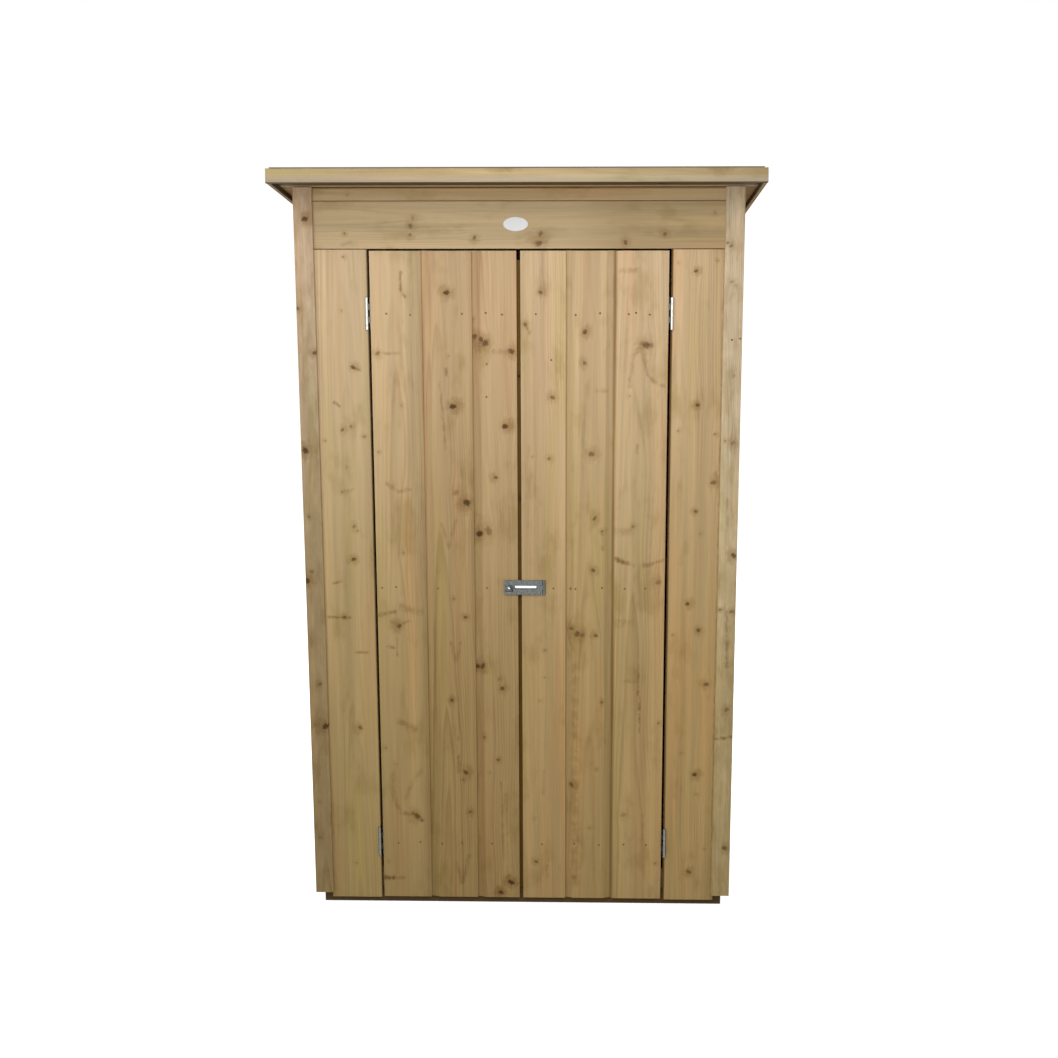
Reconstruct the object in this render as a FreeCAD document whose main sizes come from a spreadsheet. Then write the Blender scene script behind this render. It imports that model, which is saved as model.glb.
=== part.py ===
# Garden storage cabinet: a timber tool store with a pent roof and two doors.
# Millimetres. X runs to the right, Y from the doors to the back, Z up.
# The origin is on the ground, under the middle of the cabinet.
import FreeCAD, Part
import math
import os
import Sketcher

doc = FreeCAD.newDocument("garden_storage_cabinet")
sheet = doc.addObject("Spreadsheet::Sheet", "Sizes")
Vector = FreeCAD.Vector


class Measure:
    """A length in millimetres, with the sheet expression that it comes from."""

    def __init__(self, number, text):
        self.number = number
        self.text = text

    def __add__(self, other):
        other = measure(other)
        return Measure(self.number + other.number, "(%s + %s)" % (self.text, other.text))

    def __sub__(self, other):
        other = measure(other)
        return Measure(self.number - other.number, "(%s - %s)" % (self.text, other.text))

    def __mul__(self, other):
        other = measure(other)
        return Measure(self.number * other.number, "(%s * %s)" % (self.text, other.text))

    def __truediv__(self, other):
        other = measure(other)
        return Measure(self.number / other.number, "(%s / %s)" % (self.text, other.text))

    def __neg__(self):
        return Measure(-self.number, "(0 - %s)" % self.text)

    def __radd__(self, other):
        return measure(other) + self

    def __rsub__(self, other):
        return measure(other) - self

    def __rmul__(self, other):
        return measure(other) * self


def measure(value):
    """A plain number as a Measure; a Measure as it is."""
    if isinstance(value, Measure):
        return value
    return Measure(float(value), "(%r)" % float(value))


def size(name, value, meaning):
    """Puts one driving dimension in the next row of the sheet."""
    row = size.rows + 1
    size.rows = row
    sheet.set("A%d" % row, meaning)
    sheet.set("B%d" % row, str(value))
    sheet.setAlias("B%d" % row, name)
    return Measure(float(value), "Sizes.%s" % name)


size.rows = 0

# The carcass
face = size("face", 238, "centre of the cabinet to the face of the front boards")
side_face = size("side_face", 514, "centre to the face of the side boards")
board_thick = size("board_thick", 12, "thickness of every cladding board")
board_cover = size("board_cover", 119, "width that one side or back board covers")
cove_width = size("cove_width", 20, "width of the hollow along a board's edge")
cove_depth = size("cove_depth", 6, "depth of the hollow at the joint")
lap_length = size("lap_length", 8, "length of the lip that goes behind the next board")
lap_play = size("lap_play", 0.2, "play in front of the lip")
lap_room = size("lap_room", 9, "length of the rebate that takes the lip")
frame_thick = size("frame_thick", 28, "thickness of the frame timber")
frame_wide = size("frame_wide", 34, "width of the frame timber")
eased_edge = size("eased_edge", 1.2, "chamfer on the timber's long edges")
spare_length = size("spare_length", 20, "length that is cut off again at the roof's slope")

# The floor
bearer_high = size("bearer_high", 38, "height of a floor bearer")
bearer_wide = size("bearer_wide", 44, "width of a floor bearer")
floor_thick = size("floor_thick", 12, "thickness of the floor panel")
floor_half = size("floor_half", 501, "half the width of the floor")
floor_front = size("floor_front", 225, "centre to the front edge of the front bearer")
floor_back = size("floor_back", 237, "centre to the back edge of the floor and its bearers")

# The front
post_outer = size("post_outer", 520, "centre to the outer edge of a corner post")
post_inner = size("post_inner", 476, "centre to the inner edge of a corner post")
post_thick = size("post_thick", 16, "thickness of a corner post")
post_foot = size("post_foot", 36, "ground to the foot of a corner post")
board_foot = size("board_foot", 17.5, "ground to the foot of the fixed front boards")
fixed_inner = size("fixed_inner", 354.5, "centre to the inner edge of a fixed board")
fixed_outer = size("fixed_outer", 480, "centre to the outer edge of a fixed board")
header_foot = size("header_foot", 1649.5, "ground to the foot of the header board")
header_top = size("header_top", 1759, "ground to the top of the header board")
header_groove = size("header_groove", 1.4, "open joint between header board and strip")
board_gap = size("board_gap", 1.5, "open joint under the header board")
header_rail_foot = size("header_rail_foot", 1652, "ground to the rail behind the header")
header_rail_high = size("header_rail_high", 46, "height of that rail")
top_rail_foot = size("top_rail_foot", 1738, "ground to the foot of the top rail")
threshold_top = size("threshold_top", 88, "ground to the top of the threshold")
threshold_thick = size("threshold_thick", 15, "thickness of the threshold")
middle_rail_foot = size("middle_rail_foot", 817, "ground to the foot of the middle rails")

# The roof
wall_top = size("wall_top", 1791, "underside of the roof at the front boards' face")
roof_fall = size("roof_fall", 0.2, "fall of the roof for each unit towards the back")
roof_gap = size("roof_gap", 2, "open joint between the boards' tops and the roof")
roof_front = size("roof_front", 163.4, "front boards to the fascia's face, down the slope")
roof_back = size("roof_back", 512, "front boards to the rear fascia, down the slope")
roof_half = size("roof_half", 557, "half the width of the roof")
deck_thick = size("deck_thick", 20, "thickness of the roof boards")
fascia_drop = size("fascia_drop", 12, "fascia below the underside of the roof boards")
fascia_thick = size("fascia_thick", 16, "thickness of the fascia")
barge_thick = size("barge_thick", 10, "thickness of a barge board")
felt_thick = size("felt_thick", 2.5, "thickness of the roofing felt")
felt_inset = size("felt_inset", 8, "felt's side edges inside the barge boards' faces")
felt_lip = size("felt_lip", 1.5, "felt's front edge behind the fascia's face")
tongue = size("tongue", 6, "tongue of a roof board")
rafter_wide = size("rafter_wide", 34, "width of a rafter")
rafter_high = size("rafter_high", 44, "height of a rafter")
rafter_place = size("rafter_place", 170, "centre to the middle of a rafter")

# The doors
door_edge = size("door_edge", 348.5, "centre to a door's hinge edge")
meeting_left = size("meeting_left", 6, "centre to the left door's free edge")
meeting_right = size("meeting_right", 3.2, "centre to the right door's free edge")
door_foot = size("door_foot", 19.5, "ground to the foot of a door")
door_top = size("door_top", 1645, "ground to the top of a door")
left_joint_outer = size("left_joint_outer", 228.3, "left door's outer board joint")
left_joint_inner = size("left_joint_inner", 111, "left door's inner board joint")
right_joint_inner = size("right_joint_inner", 109, "right door's inner board joint")
right_joint_outer = size("right_joint_outer", 224, "right door's outer board joint")
ledge_high = size("ledge_high", 75, "height of a ledge")
ledge_top = size("ledge_top", 1500, "ground to the middle of the top ledge")
ledge_middle = size("ledge_middle", 834, "ground to the middle of the middle ledge")
ledge_bottom = size("ledge_bottom", 172, "ground to the middle of the bottom ledge")
left_ledge_end = size("left_ledge_end", 24, "centre to the left ledges' free ends")
right_ledge_end = size("right_ledge_end", 31, "centre to the right ledges' free ends")
brace_level = size("brace_level", 77, "width of a brace, measured level")
brace_hinge = size("brace_hinge", 342, "centre to a brace's foot, at the hinge side")
brace_meeting = size("brace_meeting", 40, "centre to a brace's head, at the meeting side")
strip_left = size("strip_left", 22, "meeting strip's reach behind the left door")
strip_right = size("strip_right", 18, "meeting strip's reach behind the right door")
strip_thick = size("strip_thick", 12, "thickness of the meeting strip")
strip_rebate = size("strip_rebate", 1, "strip set back where the right door closes on it")
strip_foot = size("strip_foot", 40, "ground to the foot of the meeting strip")
strip_top = size("strip_top", 1622, "ground to the top of the meeting strip")

# The butt hinges
hinge_long = size("hinge_long", 75, "length of a butt hinge")
pin_place = size("pin_place", 356.5, "centre to the axis of a hinge pin")
pin_proud = size("pin_proud", 3.7, "hinge pin's axis in front of the boards' face")
knuckle_radius = size("knuckle_radius", 3.5, "outer radius of a knuckle")
pin_radius = size("pin_radius", 2, "radius of the hinge pin")
pin_play = size("pin_play", 0.05, "play of the pin in a knuckle, on the radius")
knuckle_gap = size("knuckle_gap", 0.4, "gap between two knuckles")
leaf_thick = size("leaf_thick", 1.5, "thickness of a hinge leaf")
leaf_start = size("leaf_start", 3.9, "pin's axis to the near edge of a leaf")
leaf_end = size("leaf_end", 28.7, "pin's axis to the far edge of a leaf")
leaf_step = size("leaf_step", 6.5, "pin's axis to the door leaf, across the gap")
leaf_web = size("leaf_web", 1.2, "pin's axis to the web that carries a door knuckle")
frame_web = size("frame_web", 1, "pin's axis to the web that carries a frame knuckle")
web_start = size("web_start", 2.2, "pin's axis to a door knuckle's web, across the gap")
web_overlap = size("web_overlap", 0.5, "web's reach into the leaf's plate")
leaf_screw_row = size("leaf_screw_row", 19, "pin's axis to the row of screw holes")
leaf_screw_pitch = size("leaf_screw_pitch", 24, "pitch of the screw holes in a leaf")
screw_hole = size("screw_hole", 2.3, "radius of a screw hole")
countersink = size("countersink", 1.1, "depth of the countersinks")
pin_head = size("pin_head", 2.9, "radius of the hinge pin's head")
pin_head_high = size("pin_head_high", 1.1, "height of the hinge pin's head")
pin_head_gap = size("pin_head_gap", 0.1, "gap between a knuckle and the pin's head")

# The hasp and staple
hasp_level = size("hasp_level", 835.5, "ground to the middle of the hasp")
strap_left = size("strap_left", 40, "centre to the strap's free end")
strap_half = size("strap_half", 18, "half the strap's height")
strap_thick = size("strap_thick", 2, "thickness of the strap")
strap_lift = size("strap_lift", 3.2, "boards' face to the back of the strap")
strap_pin = size("strap_pin", 57, "centre to the axis of the strap's pin")
strap_pin_proud = size("strap_pin_proud", 3.9, "strap pin's axis in front of the boards")
strap_knuckle = size("strap_knuckle", 3.4, "outer radius of the hasp's knuckles")
strap_pin_radius = size("strap_pin_radius", 1.5, "radius of the strap's pin")
strap_middle = size("strap_middle", 6, "half the length of the strap's own knuckle")
strap_clear = size("strap_clear", 4.5, "pin's axis to the notches beside the knuckles")
strap_neck = size("strap_neck", 2.4, "pin's axis to the end of the strap's flat")
plate_thick = size("plate_thick", 1.5, "thickness of the hasp's two plates")
plate_half = size("plate_half", 17.5, "half the height of the hinge plate")
hinge_plate_left = size("hinge_plate_left", 12, "centre to the hinge plate's free edge")
plate_screw_left = size("plate_screw_left", 20, "centre to the hinge plate's outer screws")
plate_screw_right = size("plate_screw_right", 42, "centre to the hinge plate's inner screws")
plate_screw_high = size("plate_screw_high", 10, "hasp's middle to the hinge plate's screws")
window_left = size("window_left", 36.5, "centre to the window's outer edge")
window_right = size("window_right", 17, "centre to the window's inner edge")
window_half = size("window_half", 8.5, "half the window's height")
window_corner = size("window_corner", 2, "radius of the window's corners")
strap_corner = size("strap_corner", 3, "radius of the strap's free corners")
rib_left = size("rib_left", 13, "centre to the left end of the pressed rib")
rib_right = size("rib_right", 39, "centre to the right end of the pressed rib")
rib_half = size("rib_half", 4.5, "half the height of the rib")
rib_proud = size("rib_proud", 2.6, "rib in front of the strap")
eye_place = size("eye_place", 25, "centre to the axis of the turning eye")
eye_level = size("eye_level", 833, "ground to the axis of the turning eye")
staple_half_wide = size("staple_half_wide", 14, "half the width of the staple's plate")
staple_screw_wide = size("staple_screw_wide", 10, "eye's axis to the plate's screws, across")
staple_screw_high = size("staple_screw_high", 13, "hasp's middle to the staple plate's screws")
staple_screw_hole = size("staple_screw_hole", 2, "radius of the staple plate's screw holes")
eye_half = size("eye_half", 7, "half the width of the eye's blade")
eye_thick = size("eye_thick", 4, "thickness of the eye's blade")
eye_proud = size("eye_proud", 16, "tip of the eye in front of the boards' face")
eye_crown = size("eye_crown", 5.6, "height of the eye's rounded tip")
eye_bevel = size("eye_bevel", 1.2, "bevel at the foot of the eye's blade")
eye_hole = size("eye_hole", 3.7, "radius of the hole for a padlock")
eye_hole_proud = size("eye_hole_proud", 9.6, "that hole in front of the boards' face")
eye_turn = size("eye_turn", 45, "turn of the eye, in degrees from level")
collar_radius = size("collar_radius", 6.5, "radius of the eye's collar")
collar_thick = size("collar_thick", 1, "thickness of the collar")
collar_lift = size("collar_lift", 1.6, "boards' face to the back of the collar")
spindle_radius = size("spindle_radius", 2.5, "radius of the eye's spindle")
spindle_end = size("spindle_end", 0.3, "boards' face to the spindle's end")

# The badge
badge_place = size("badge_place", 7, "centre to the middle of the badge")
badge_level = size("badge_level", 1706.4, "ground to the middle of the badge")
badge_half_wide = size("badge_half_wide", 28.5, "half the width of the badge")
badge_half_high = size("badge_half_high", 16, "half the height of the badge")
badge_thick = size("badge_thick", 1.2, "thickness of the badge")
badge_rim = size("badge_rim", 2, "width of the badge's rim")
badge_rim_high = size("badge_rim_high", 0.8, "height of the rim above the badge")

doc.recompute()

hinge_pitch = (hinge_long + knuckle_gap) / 5
knuckle_long = hinge_pitch - knuckle_gap
cove_radius = (cove_width * cove_width + cove_depth * cove_depth) / (2 * cove_depth)
board_back = face - board_thick
floor_top = bearer_high + floor_thick
frame_back = board_back - frame_thick
side_inner = side_face - board_thick
roof_length = roof_front - fascia_thick + roof_back
nodes = {}


def keep(node, item):
    """Names an object as a finished sub-part, to be written to its own file."""
    item.Label = node
    nodes[node] = item
    return item


def roof_under(y):
    """Height of the roof boards' underside at a distance y from the centre."""
    return wall_top - (y + face) * roof_fall


def bind(item, property_name, value):
    """Binds one property of an object to the sheet."""
    item.setExpression(property_name, measure(value).text)


def plane_of(body, role):
    """One of the body's own origin planes."""
    for feature in body.Origin.OriginFeatures:
        if feature.Role == role:
            return feature
    raise RuntimeError("no plane " + role)


def new_body(name):
    return doc.addObject("PartDesign::Body", name)


def new_sketch(body, name, role, offset):
    """A sketch on an origin plane, lifted along the plane's normal by the offset."""
    sketch = body.newObject("Sketcher::SketchObject", name)
    sketch.AttachmentSupport = [(plane_of(body, role), "")]
    sketch.MapMode = "FlatFace"
    bind(sketch, "AttachmentOffset.Base.z", offset)
    return sketch


def place_point(sketch, item, end, u, v, name):
    """Ties one point of the sketch to the sheet with its two distances."""
    for kind, letter, value in (("DistanceX", "u", measure(u)), ("DistanceY", "v", measure(v))):
        rule = Sketcher.Constraint(kind, -1, 1, item, end, value.number)
        index = sketch.addConstraint(rule)
        sketch.renameConstraint(index, letter + name)
        bind(sketch, "Constraints.%s%s" % (letter, name), value)


def draw_outline(sketch, corners, arcs=None):
    """A closed outline through the corners; arcs maps a side's number to (centre, radius)."""
    arcs = arcs or {}
    corners = [(measure(u), measure(v)) for u, v in corners]
    first = sketch.GeometryCount
    starts = []
    for side, (u, v) in enumerate(corners):
        u_next, v_next = corners[(side + 1) % len(corners)]
        here = Vector(u.number, v.number, 0)
        there = Vector(u_next.number, v_next.number, 0)
        if side not in arcs:
            sketch.addGeometry(Part.LineSegment(here, there), False)
            starts.append(1)
            continue
        centre, radius = arcs[side]
        middle = Vector(measure(centre[0]).number, measure(centre[1]).number, 0)
        turn_here = math.atan2(here.y - middle.y, here.x - middle.x)
        turn_there = math.atan2(there.y - middle.y, there.x - middle.x)
        circle = Part.Circle(middle, Vector(0, 0, 1), measure(radius).number)
        ahead = (turn_there - turn_here) % (2 * math.pi) <= math.pi + 1e-6
        if ahead:
            sketch.addGeometry(Part.ArcOfCircle(circle, turn_here, turn_there), False)
        else:
            sketch.addGeometry(Part.ArcOfCircle(circle, turn_there, turn_here), False)
        starts.append(1 if ahead else 2)
        index = sketch.addConstraint(Sketcher.Constraint("Radius", first + side, measure(radius).number))
        sketch.renameConstraint(index, "r%d" % (first + side))
        bind(sketch, "Constraints.r%d" % (first + side), radius)
    for side in range(len(corners)):
        after = (side + 1) % len(corners)
        ends = (first + side, 3 - starts[side], first + after, starts[after])
        sketch.addConstraint(Sketcher.Constraint("Coincident", *ends))
    for side, (u, v) in enumerate(corners):
        place_point(sketch, first + side, starts[side], u, v, "%d" % (first + side))


def draw_rectangle(sketch, u_low, v_low, u_high, v_high):
    draw_outline(sketch, [(u_low, v_low), (u_high, v_low), (u_high, v_high), (u_low, v_high)])


def draw_rounded(sketch, u_low, v_low, u_high, v_high, radius):
    """A rectangle whose four corners are arcs."""
    left, right = measure(u_low) + radius, measure(u_high) - radius
    foot, top = measure(v_low) + radius, measure(v_high) - radius
    corners = [(left, v_low), (right, v_low), (u_high, foot), (u_high, top),
               (right, v_high), (left, v_high), (u_low, top), (u_low, foot)]
    arcs = {1: ((right, foot), radius), 3: ((right, top), radius),
            5: ((left, top), radius), 7: ((left, foot), radius)}
    draw_outline(sketch, corners, arcs)


def draw_circle(sketch, u, v, radius):
    u, v, radius = measure(u), measure(v), measure(radius)
    circle = Part.Circle(Vector(u.number, v.number, 0), Vector(0, 0, 1), radius.number)
    item = sketch.addGeometry(circle, False)
    index = sketch.addConstraint(Sketcher.Constraint("Radius", item, radius.number))
    sketch.renameConstraint(index, "r%d" % item)
    bind(sketch, "Constraints.r%d" % item, radius)
    place_point(sketch, item, 3, u, v, "%d" % item)


def pad(body, sketch, length):
    """Adds material from the sketch along its plane's normal."""
    feature = body.newObject("PartDesign::Pad", sketch.Name + "_pad")
    feature.Profile = sketch
    bind(feature, "Length", length)
    body.Tip = feature
    return feature


def pocket_through(body, sketch):
    """Cuts the sketch's shape right through the body, to both sides of its plane."""
    doc.recompute()
    before = body.Shape.Volume
    feature = body.newObject("PartDesign::Pocket", sketch.Name + "_pocket")
    feature.Profile = sketch
    feature.Type = "ThroughAll"
    feature.SideType = "Symmetric"
    body.Tip = feature
    doc.recompute()
    if body.Shape.Volume > before - 1e-3:
        raise RuntimeError("nothing was cut by " + feature.Name)
    return feature


def dress(body, kind, wanted, amount):
    """A chamfer or fillet on the body's edges that the test wanted picks out."""
    doc.recompute()
    base = body.Tip
    edges = ["Edge%d" % (number + 1) for number, edge in enumerate(base.Shape.Edges) if wanted(edge)]
    if not edges:
        raise RuntimeError("no edges to dress on " + body.Name)
    feature = body.newObject("PartDesign::" + kind, body.Name + "_" + kind.lower())
    feature.Base = (base, edges)
    bind(feature, "Size" if kind == "Chamfer" else "Radius", amount)
    body.Tip = feature
    return feature


def repeat(body, features, count, length):
    """Repeats features along the body's Z axis."""
    pattern = body.newObject("PartDesign::LinearPattern", body.Name + "_pattern")
    pattern.Originals = features
    axis = [item for item in body.Origin.OriginFeatures if item.Role == "Z_Axis"][0]
    pattern.Direction = (axis, [""])
    bind(pattern, "Length", length)
    pattern.Occurrences = count
    body.Tip = pattern
    return pattern


def runs_along(edge, direction):
    """True for a straight edge along the direction."""
    if not isinstance(edge.Curve, Part.Line):
        return False
    return abs(abs(edge.tangentAt(edge.FirstParameter).dot(direction)) - 1) < 1e-6


SECTIONS = {"x": ("YZ_Plane", 1, 2), "y": ("XZ_Plane", 0, 2), "z": ("XY_Plane", 0, 1)}


def timber(name, low, high, along, eased=True):
    """A sawn length of timber between two corners, with its long edges eased."""
    low = [measure(value) for value in low]
    high = [measure(value) for value in high]
    body = new_body(name)
    role, first, second = SECTIONS[along]
    axis = "xyz".index(along)
    start = -high[axis] if along == "y" else low[axis]
    sketch = new_sketch(body, name + "_section", role, start)
    draw_rectangle(sketch, low[first], low[second], high[first], high[second])
    pad(body, sketch, high[axis] - low[axis])
    if eased:
        direction = Vector(*[1 if letter == along else 0 for letter in "xyz"])
        dress(body, "Chamfer", lambda edge: runs_along(edge, direction), eased_edge)
    return body


def cut_to_roof(body, gap):
    """Cuts off what stands above the slope, a gap below the roof boards."""
    front, back, above = -face * 2, face * 2, wall_top + face
    sketch = new_sketch(body, body.Name + "_slope", "YZ_Plane", 0)
    draw_outline(sketch, [(front, roof_under(front) - gap), (back, roof_under(back) - gap),
                          (back, above), (front, above)])
    pocket_through(body, sketch)


def put_on_roof(body):
    """Turns a body made on the level into the plane of the roof."""
    body.Placement = FreeCAD.Placement(Vector(0, 0, 0), FreeCAD.Rotation(Vector(1, 0, 0), -10))
    bind(body, "Placement.Base.y", -face)
    bind(body, "Placement.Base.z", wall_top)
    body.setExpression("Placement.Rotation.Angle", "-atan(%s)" % roof_fall.text)


def group(node, members):
    """Several like pieces as one sub-part of separate solids."""
    compound = doc.addObject("Part::Compound", node)
    compound.Links = members
    return keep(node, compound)


# Cladding boards, rebated on one edge and hollowed to a lip on the other
ON_FRONT = (lambda along, depth: (along, -face + depth))
ON_BACK = (lambda along, depth: (along, board_thick + face - depth))
ON_LEFT = (lambda along, depth: (-side_face + depth, along))
ON_RIGHT = (lambda along, depth: (side_face - depth, along))


def board_section(low, high, low_edge, high_edge):
    """Corners of a board's section as (along, depth) pairs, and its hollows' arcs."""
    low, high = measure(low), measure(high)
    front_part = cove_depth - lap_play
    corners = []
    arcs = {}
    if low_edge == "lip":
        corners += [(low - lap_length, board_thick), (low - lap_length, cove_depth), (low, cove_depth)]
        arcs[2] = (low, cove_depth - cove_radius)
        corners += [(low + cove_width, 0)]
    elif low_edge == "rebate":
        inner = low + lap_room
        corners += [(inner, board_thick), (inner, front_part), (low, front_part), (low, 0)]
    else:
        corners += [(low, board_thick), (low, 0)]
    if high_edge == "lip":
        arcs[len(corners)] = (high, cove_depth - cove_radius)
        corners += [(high - cove_width, 0), (high, cove_depth)]
        corners += [(high + lap_length, cove_depth), (high + lap_length, board_thick)]
    elif high_edge == "rebate":
        inner = high - lap_room
        corners += [(high, 0), (high, front_part), (inner, front_part), (inner, board_thick)]
    else:
        corners += [(high, 0), (high, board_thick)]
    return corners, arcs


def board(name, wall, low, high, edges, foot, top):
    """One upright cladding board on a wall."""
    corners, arcs = board_section(low, high, edges[0], edges[1])
    body = new_body(name)
    sketch = new_sketch(body, name + "_section", "XY_Plane", foot)
    flat = [wall(measure(along), measure(depth)) for along, depth in corners]
    round_sides = {side: (wall(*centre), cove_radius) for side, centre in arcs.items()}
    draw_outline(sketch, flat, round_sides)
    pad(body, sketch, measure(top) - foot)
    return body


# The floor: three bearers, and one panel behind the front frame
bearers = {"front": -floor_front, "middle": -bearer_wide / 2, "rear": floor_back - bearer_wide}
for place, y in bearers.items():
    node = "floor_bearer_" + place
    keep(node, timber(node, (-floor_half, y, 0), (floor_half, y + bearer_wide, bearer_high), "x"))
keep("floor_panel", timber("floor_panel", (-floor_half, -frame_back, bearer_high),
                           (floor_half, floor_back, floor_top), "x", eased=False))

# The two side walls: a frame inside, and four upright boards nailed to it
for side, sign, wall in (("left", -1, ON_LEFT), ("right", 1, ON_RIGHT)):
    x_low, x_high = (side_inner - frame_thick) * sign, side_inner * sign
    if sign < 0:
        x_low, x_high = x_high, x_low
    name = side + "_side_"
    rear_start = face - frame_thick
    uprights = []
    for place, y, foot in (("front_upright", -board_back, bearer_high),
                           ("rear_upright", rear_start, floor_top)):
        upright = timber(name + place, (x_low, y, foot), (x_high, y + frame_thick, wall_top), "z")
        cut_to_roof(upright, 0)
        uprights.append(upright)
    rails = []
    for place, foot in (("bottom_rail", floor_top), ("middle_rail", middle_rail_foot)):
        top = foot + frame_wide
        rails.append(timber(name + place, (x_low, -frame_back, foot), (x_high, rear_start, top), "y"))
    top_body = new_body(name + "top_rail")
    top_sketch = new_sketch(top_body, name + "top_rail_side", "YZ_Plane", x_low)
    top_front, top_back = -frame_back, rear_start
    draw_outline(top_sketch, [(top_front, roof_under(top_front) - frame_wide),
                              (top_back, roof_under(top_back) - frame_wide),
                              (top_back, roof_under(top_back)), (top_front, roof_under(top_front))])
    pad(top_body, top_sketch, frame_thick)
    group(name + "frame", uprights + rails + [top_body])
    for number in range(4):
        low = board_cover * number - face
        edges = ("square" if number == 0 else "lip", "square" if number == 3 else "rebate")
        node = "%s_side_board_%d" % (side, number + 1)
        body = board(node, wall, low, low + board_cover, edges, post_foot, wall_top)
        cut_to_roof(body, roof_gap)
        keep(node, body)

# The back wall: three rails, and upright boards across the whole width
rail_half = side_inner - frame_thick
back_rails = []
for place, foot in (("bottom", floor_top), ("middle", middle_rail_foot)):
    back_rails.append(timber("back_%s_rail" % place, (-rail_half, face - frame_thick, foot),
                             (rail_half, face, foot + frame_wide), "x"))
back_top = timber("back_top_rail", (-rail_half, face - frame_thick, roof_under(face) - frame_wide),
                  (rail_half, face, roof_under(face) + frame_thick), "x", eased=False)
cut_to_roof(back_top, 0)
group("back_frame", back_rails + [back_top])
back_boards = []
BACK_COUNT = 9
for number in range(BACK_COUNT):
    low = board_cover * number - side_face
    high = low + board_cover if number < BACK_COUNT - 1 else side_face
    edges = ("square" if number == 0 else "lip", "square" if number == BACK_COUNT - 1 else "rebate")
    body = board("back_board_%d" % (number + 1), ON_BACK, low, high, edges, post_foot, wall_top)
    cut_to_roof(body, roof_gap)
    back_boards.append(body)
group("back_boards", back_boards)

# The front: corner posts, fixed boards, door posts, header, rails and threshold
for side, sign in (("left", -1), ("right", 1)):

    def span(near, far):
        """The two X values of a piece between two distances from the centre."""
        return (-far, -near) if sign < 0 else (near, far)

    x_low, x_high = span(post_inner, post_outer)
    post = timber("corner_post_" + side, (x_low, -face - post_thick, post_foot),
                  (x_high, -face, wall_top + spare_length), "z")
    x_low, x_high = span(fixed_outer, side_inner)
    back_part = new_sketch(post, post.Name + "_back_part", "XY_Plane", post_foot)
    draw_rectangle(back_part, x_low, -face, x_high, -board_back)
    pad(post, back_part, wall_top + spare_length - post_foot)
    cut_to_roof(post, roof_gap)
    keep("corner_post_" + side, post)
    x_low, x_high = span(fixed_inner, fixed_outer)
    fixed = timber("fixed_board_" + side, (x_low, -face, board_foot),
                   (x_high, -board_back, header_foot - board_gap), "z")
    keep("fixed_board_" + side, fixed)
    x_low, x_high = span(fixed_inner, fixed_inner + frame_wide)
    upright = timber("door_post_" + side, (x_low, -board_back, bearer_high),
                     (x_high, -frame_back, header_rail_foot), "z")
    keep("door_post_" + side, upright)

keep("header_board", timber("header_board", (-fixed_outer, -face, header_foot),
                            (fixed_outer, -board_back, header_top), "x"))
strip = timber("header_strip", (-fixed_outer, -face, header_top + header_groove),
               (fixed_outer, -board_back, wall_top + spare_length), "x", eased=False)
cut_to_roof(strip, roof_gap)
keep("header_strip", strip)
keep("header_rail", timber("header_rail", (-rail_half, -board_back, header_rail_foot),
                           (rail_half, -frame_back, header_rail_foot + header_rail_high), "x"))
top_rail = timber("top_rail", (-rail_half, -board_back, top_rail_foot),
                  (rail_half, -frame_back, wall_top + spare_length), "x", eased=False)
cut_to_roof(top_rail, 0)
keep("top_rail", top_rail)
keep("threshold_rail", timber("threshold_rail", (-fixed_inner, -frame_back - threshold_thick, bearer_high),
                              (fixed_inner, -frame_back, threshold_top), "x"))

# The roof: rafters, tongued boards, fascias square to the slope, barge boards and felt
rafters = []
for side, sign in (("left", -1), ("right", 1)):
    middle = rafter_place * sign
    body = new_body("rafter_" + side)
    sketch = new_sketch(body, body.Name + "_side", "YZ_Plane", middle - rafter_wide / 2)
    front, back = -frame_back, face - frame_thick
    draw_outline(sketch, [(front, roof_under(front) - rafter_high), (back, roof_under(back) - rafter_high),
                          (back, roof_under(back)), (front, roof_under(front))])
    pad(body, sketch, rafter_wide)
    rafters.append(body)
group("roof_rafters", rafters)

ROOF_COUNT = 6
roof_cover = roof_length / ROOF_COUNT
deck_half = roof_half - barge_thick
roof_boards = []
for number in range(ROOF_COUNT):
    low = roof_cover * number - (roof_front - fascia_thick)
    high = low + roof_cover
    lower, upper = (deck_thick - tongue) / 2, (deck_thick + tongue) / 2
    groove_low, groove_high = lower - lap_play, upper + lap_play
    corners = [(low, deck_thick), (low, 0), (high, 0), (high, deck_thick)]
    if number < ROOF_COUNT - 1:
        corners[3:] = [(high, lower), (high + tongue, lower), (high + tongue, upper),
                       (high, upper), (high, deck_thick)]
    if number > 0:
        corners[1:1] = [(low, groove_high), (low + tongue + lap_play, groove_high),
                        (low + tongue + lap_play, groove_low), (low, groove_low)]
    body = new_body("roof_board_%d" % (number + 1))
    sketch = new_sketch(body, body.Name + "_section", "YZ_Plane", -deck_half)
    draw_outline(sketch, corners)
    pad(body, sketch, deck_half * 2)
    put_on_roof(body)
    roof_boards.append(body)
group("roof_boards", roof_boards)

for node, y in (("front_fascia", -roof_front), ("rear_fascia", roof_back)):
    piece = timber(node, (-roof_half, y, -fascia_drop), (roof_half, y + fascia_thick, deck_thick), "x")
    put_on_roof(piece)
    keep(node, piece)
for side, x in (("left", -roof_half), ("right", deck_half)):
    piece = timber("barge_board_" + side, (x, fascia_thick - roof_front, -fascia_drop),
                   (x + barge_thick, roof_back, deck_thick), "y")
    put_on_roof(piece)
    keep("barge_board_" + side, piece)
felt_half, felt_back = roof_half - felt_inset, roof_back + fascia_thick - felt_lip
felt = timber("roof_felt", (-felt_half, felt_lip - roof_front, deck_thick),
              (felt_half, felt_back, deck_thick + felt_thick), "x", eased=False)
put_on_roof(felt)
keep("roof_felt", felt)

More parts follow.
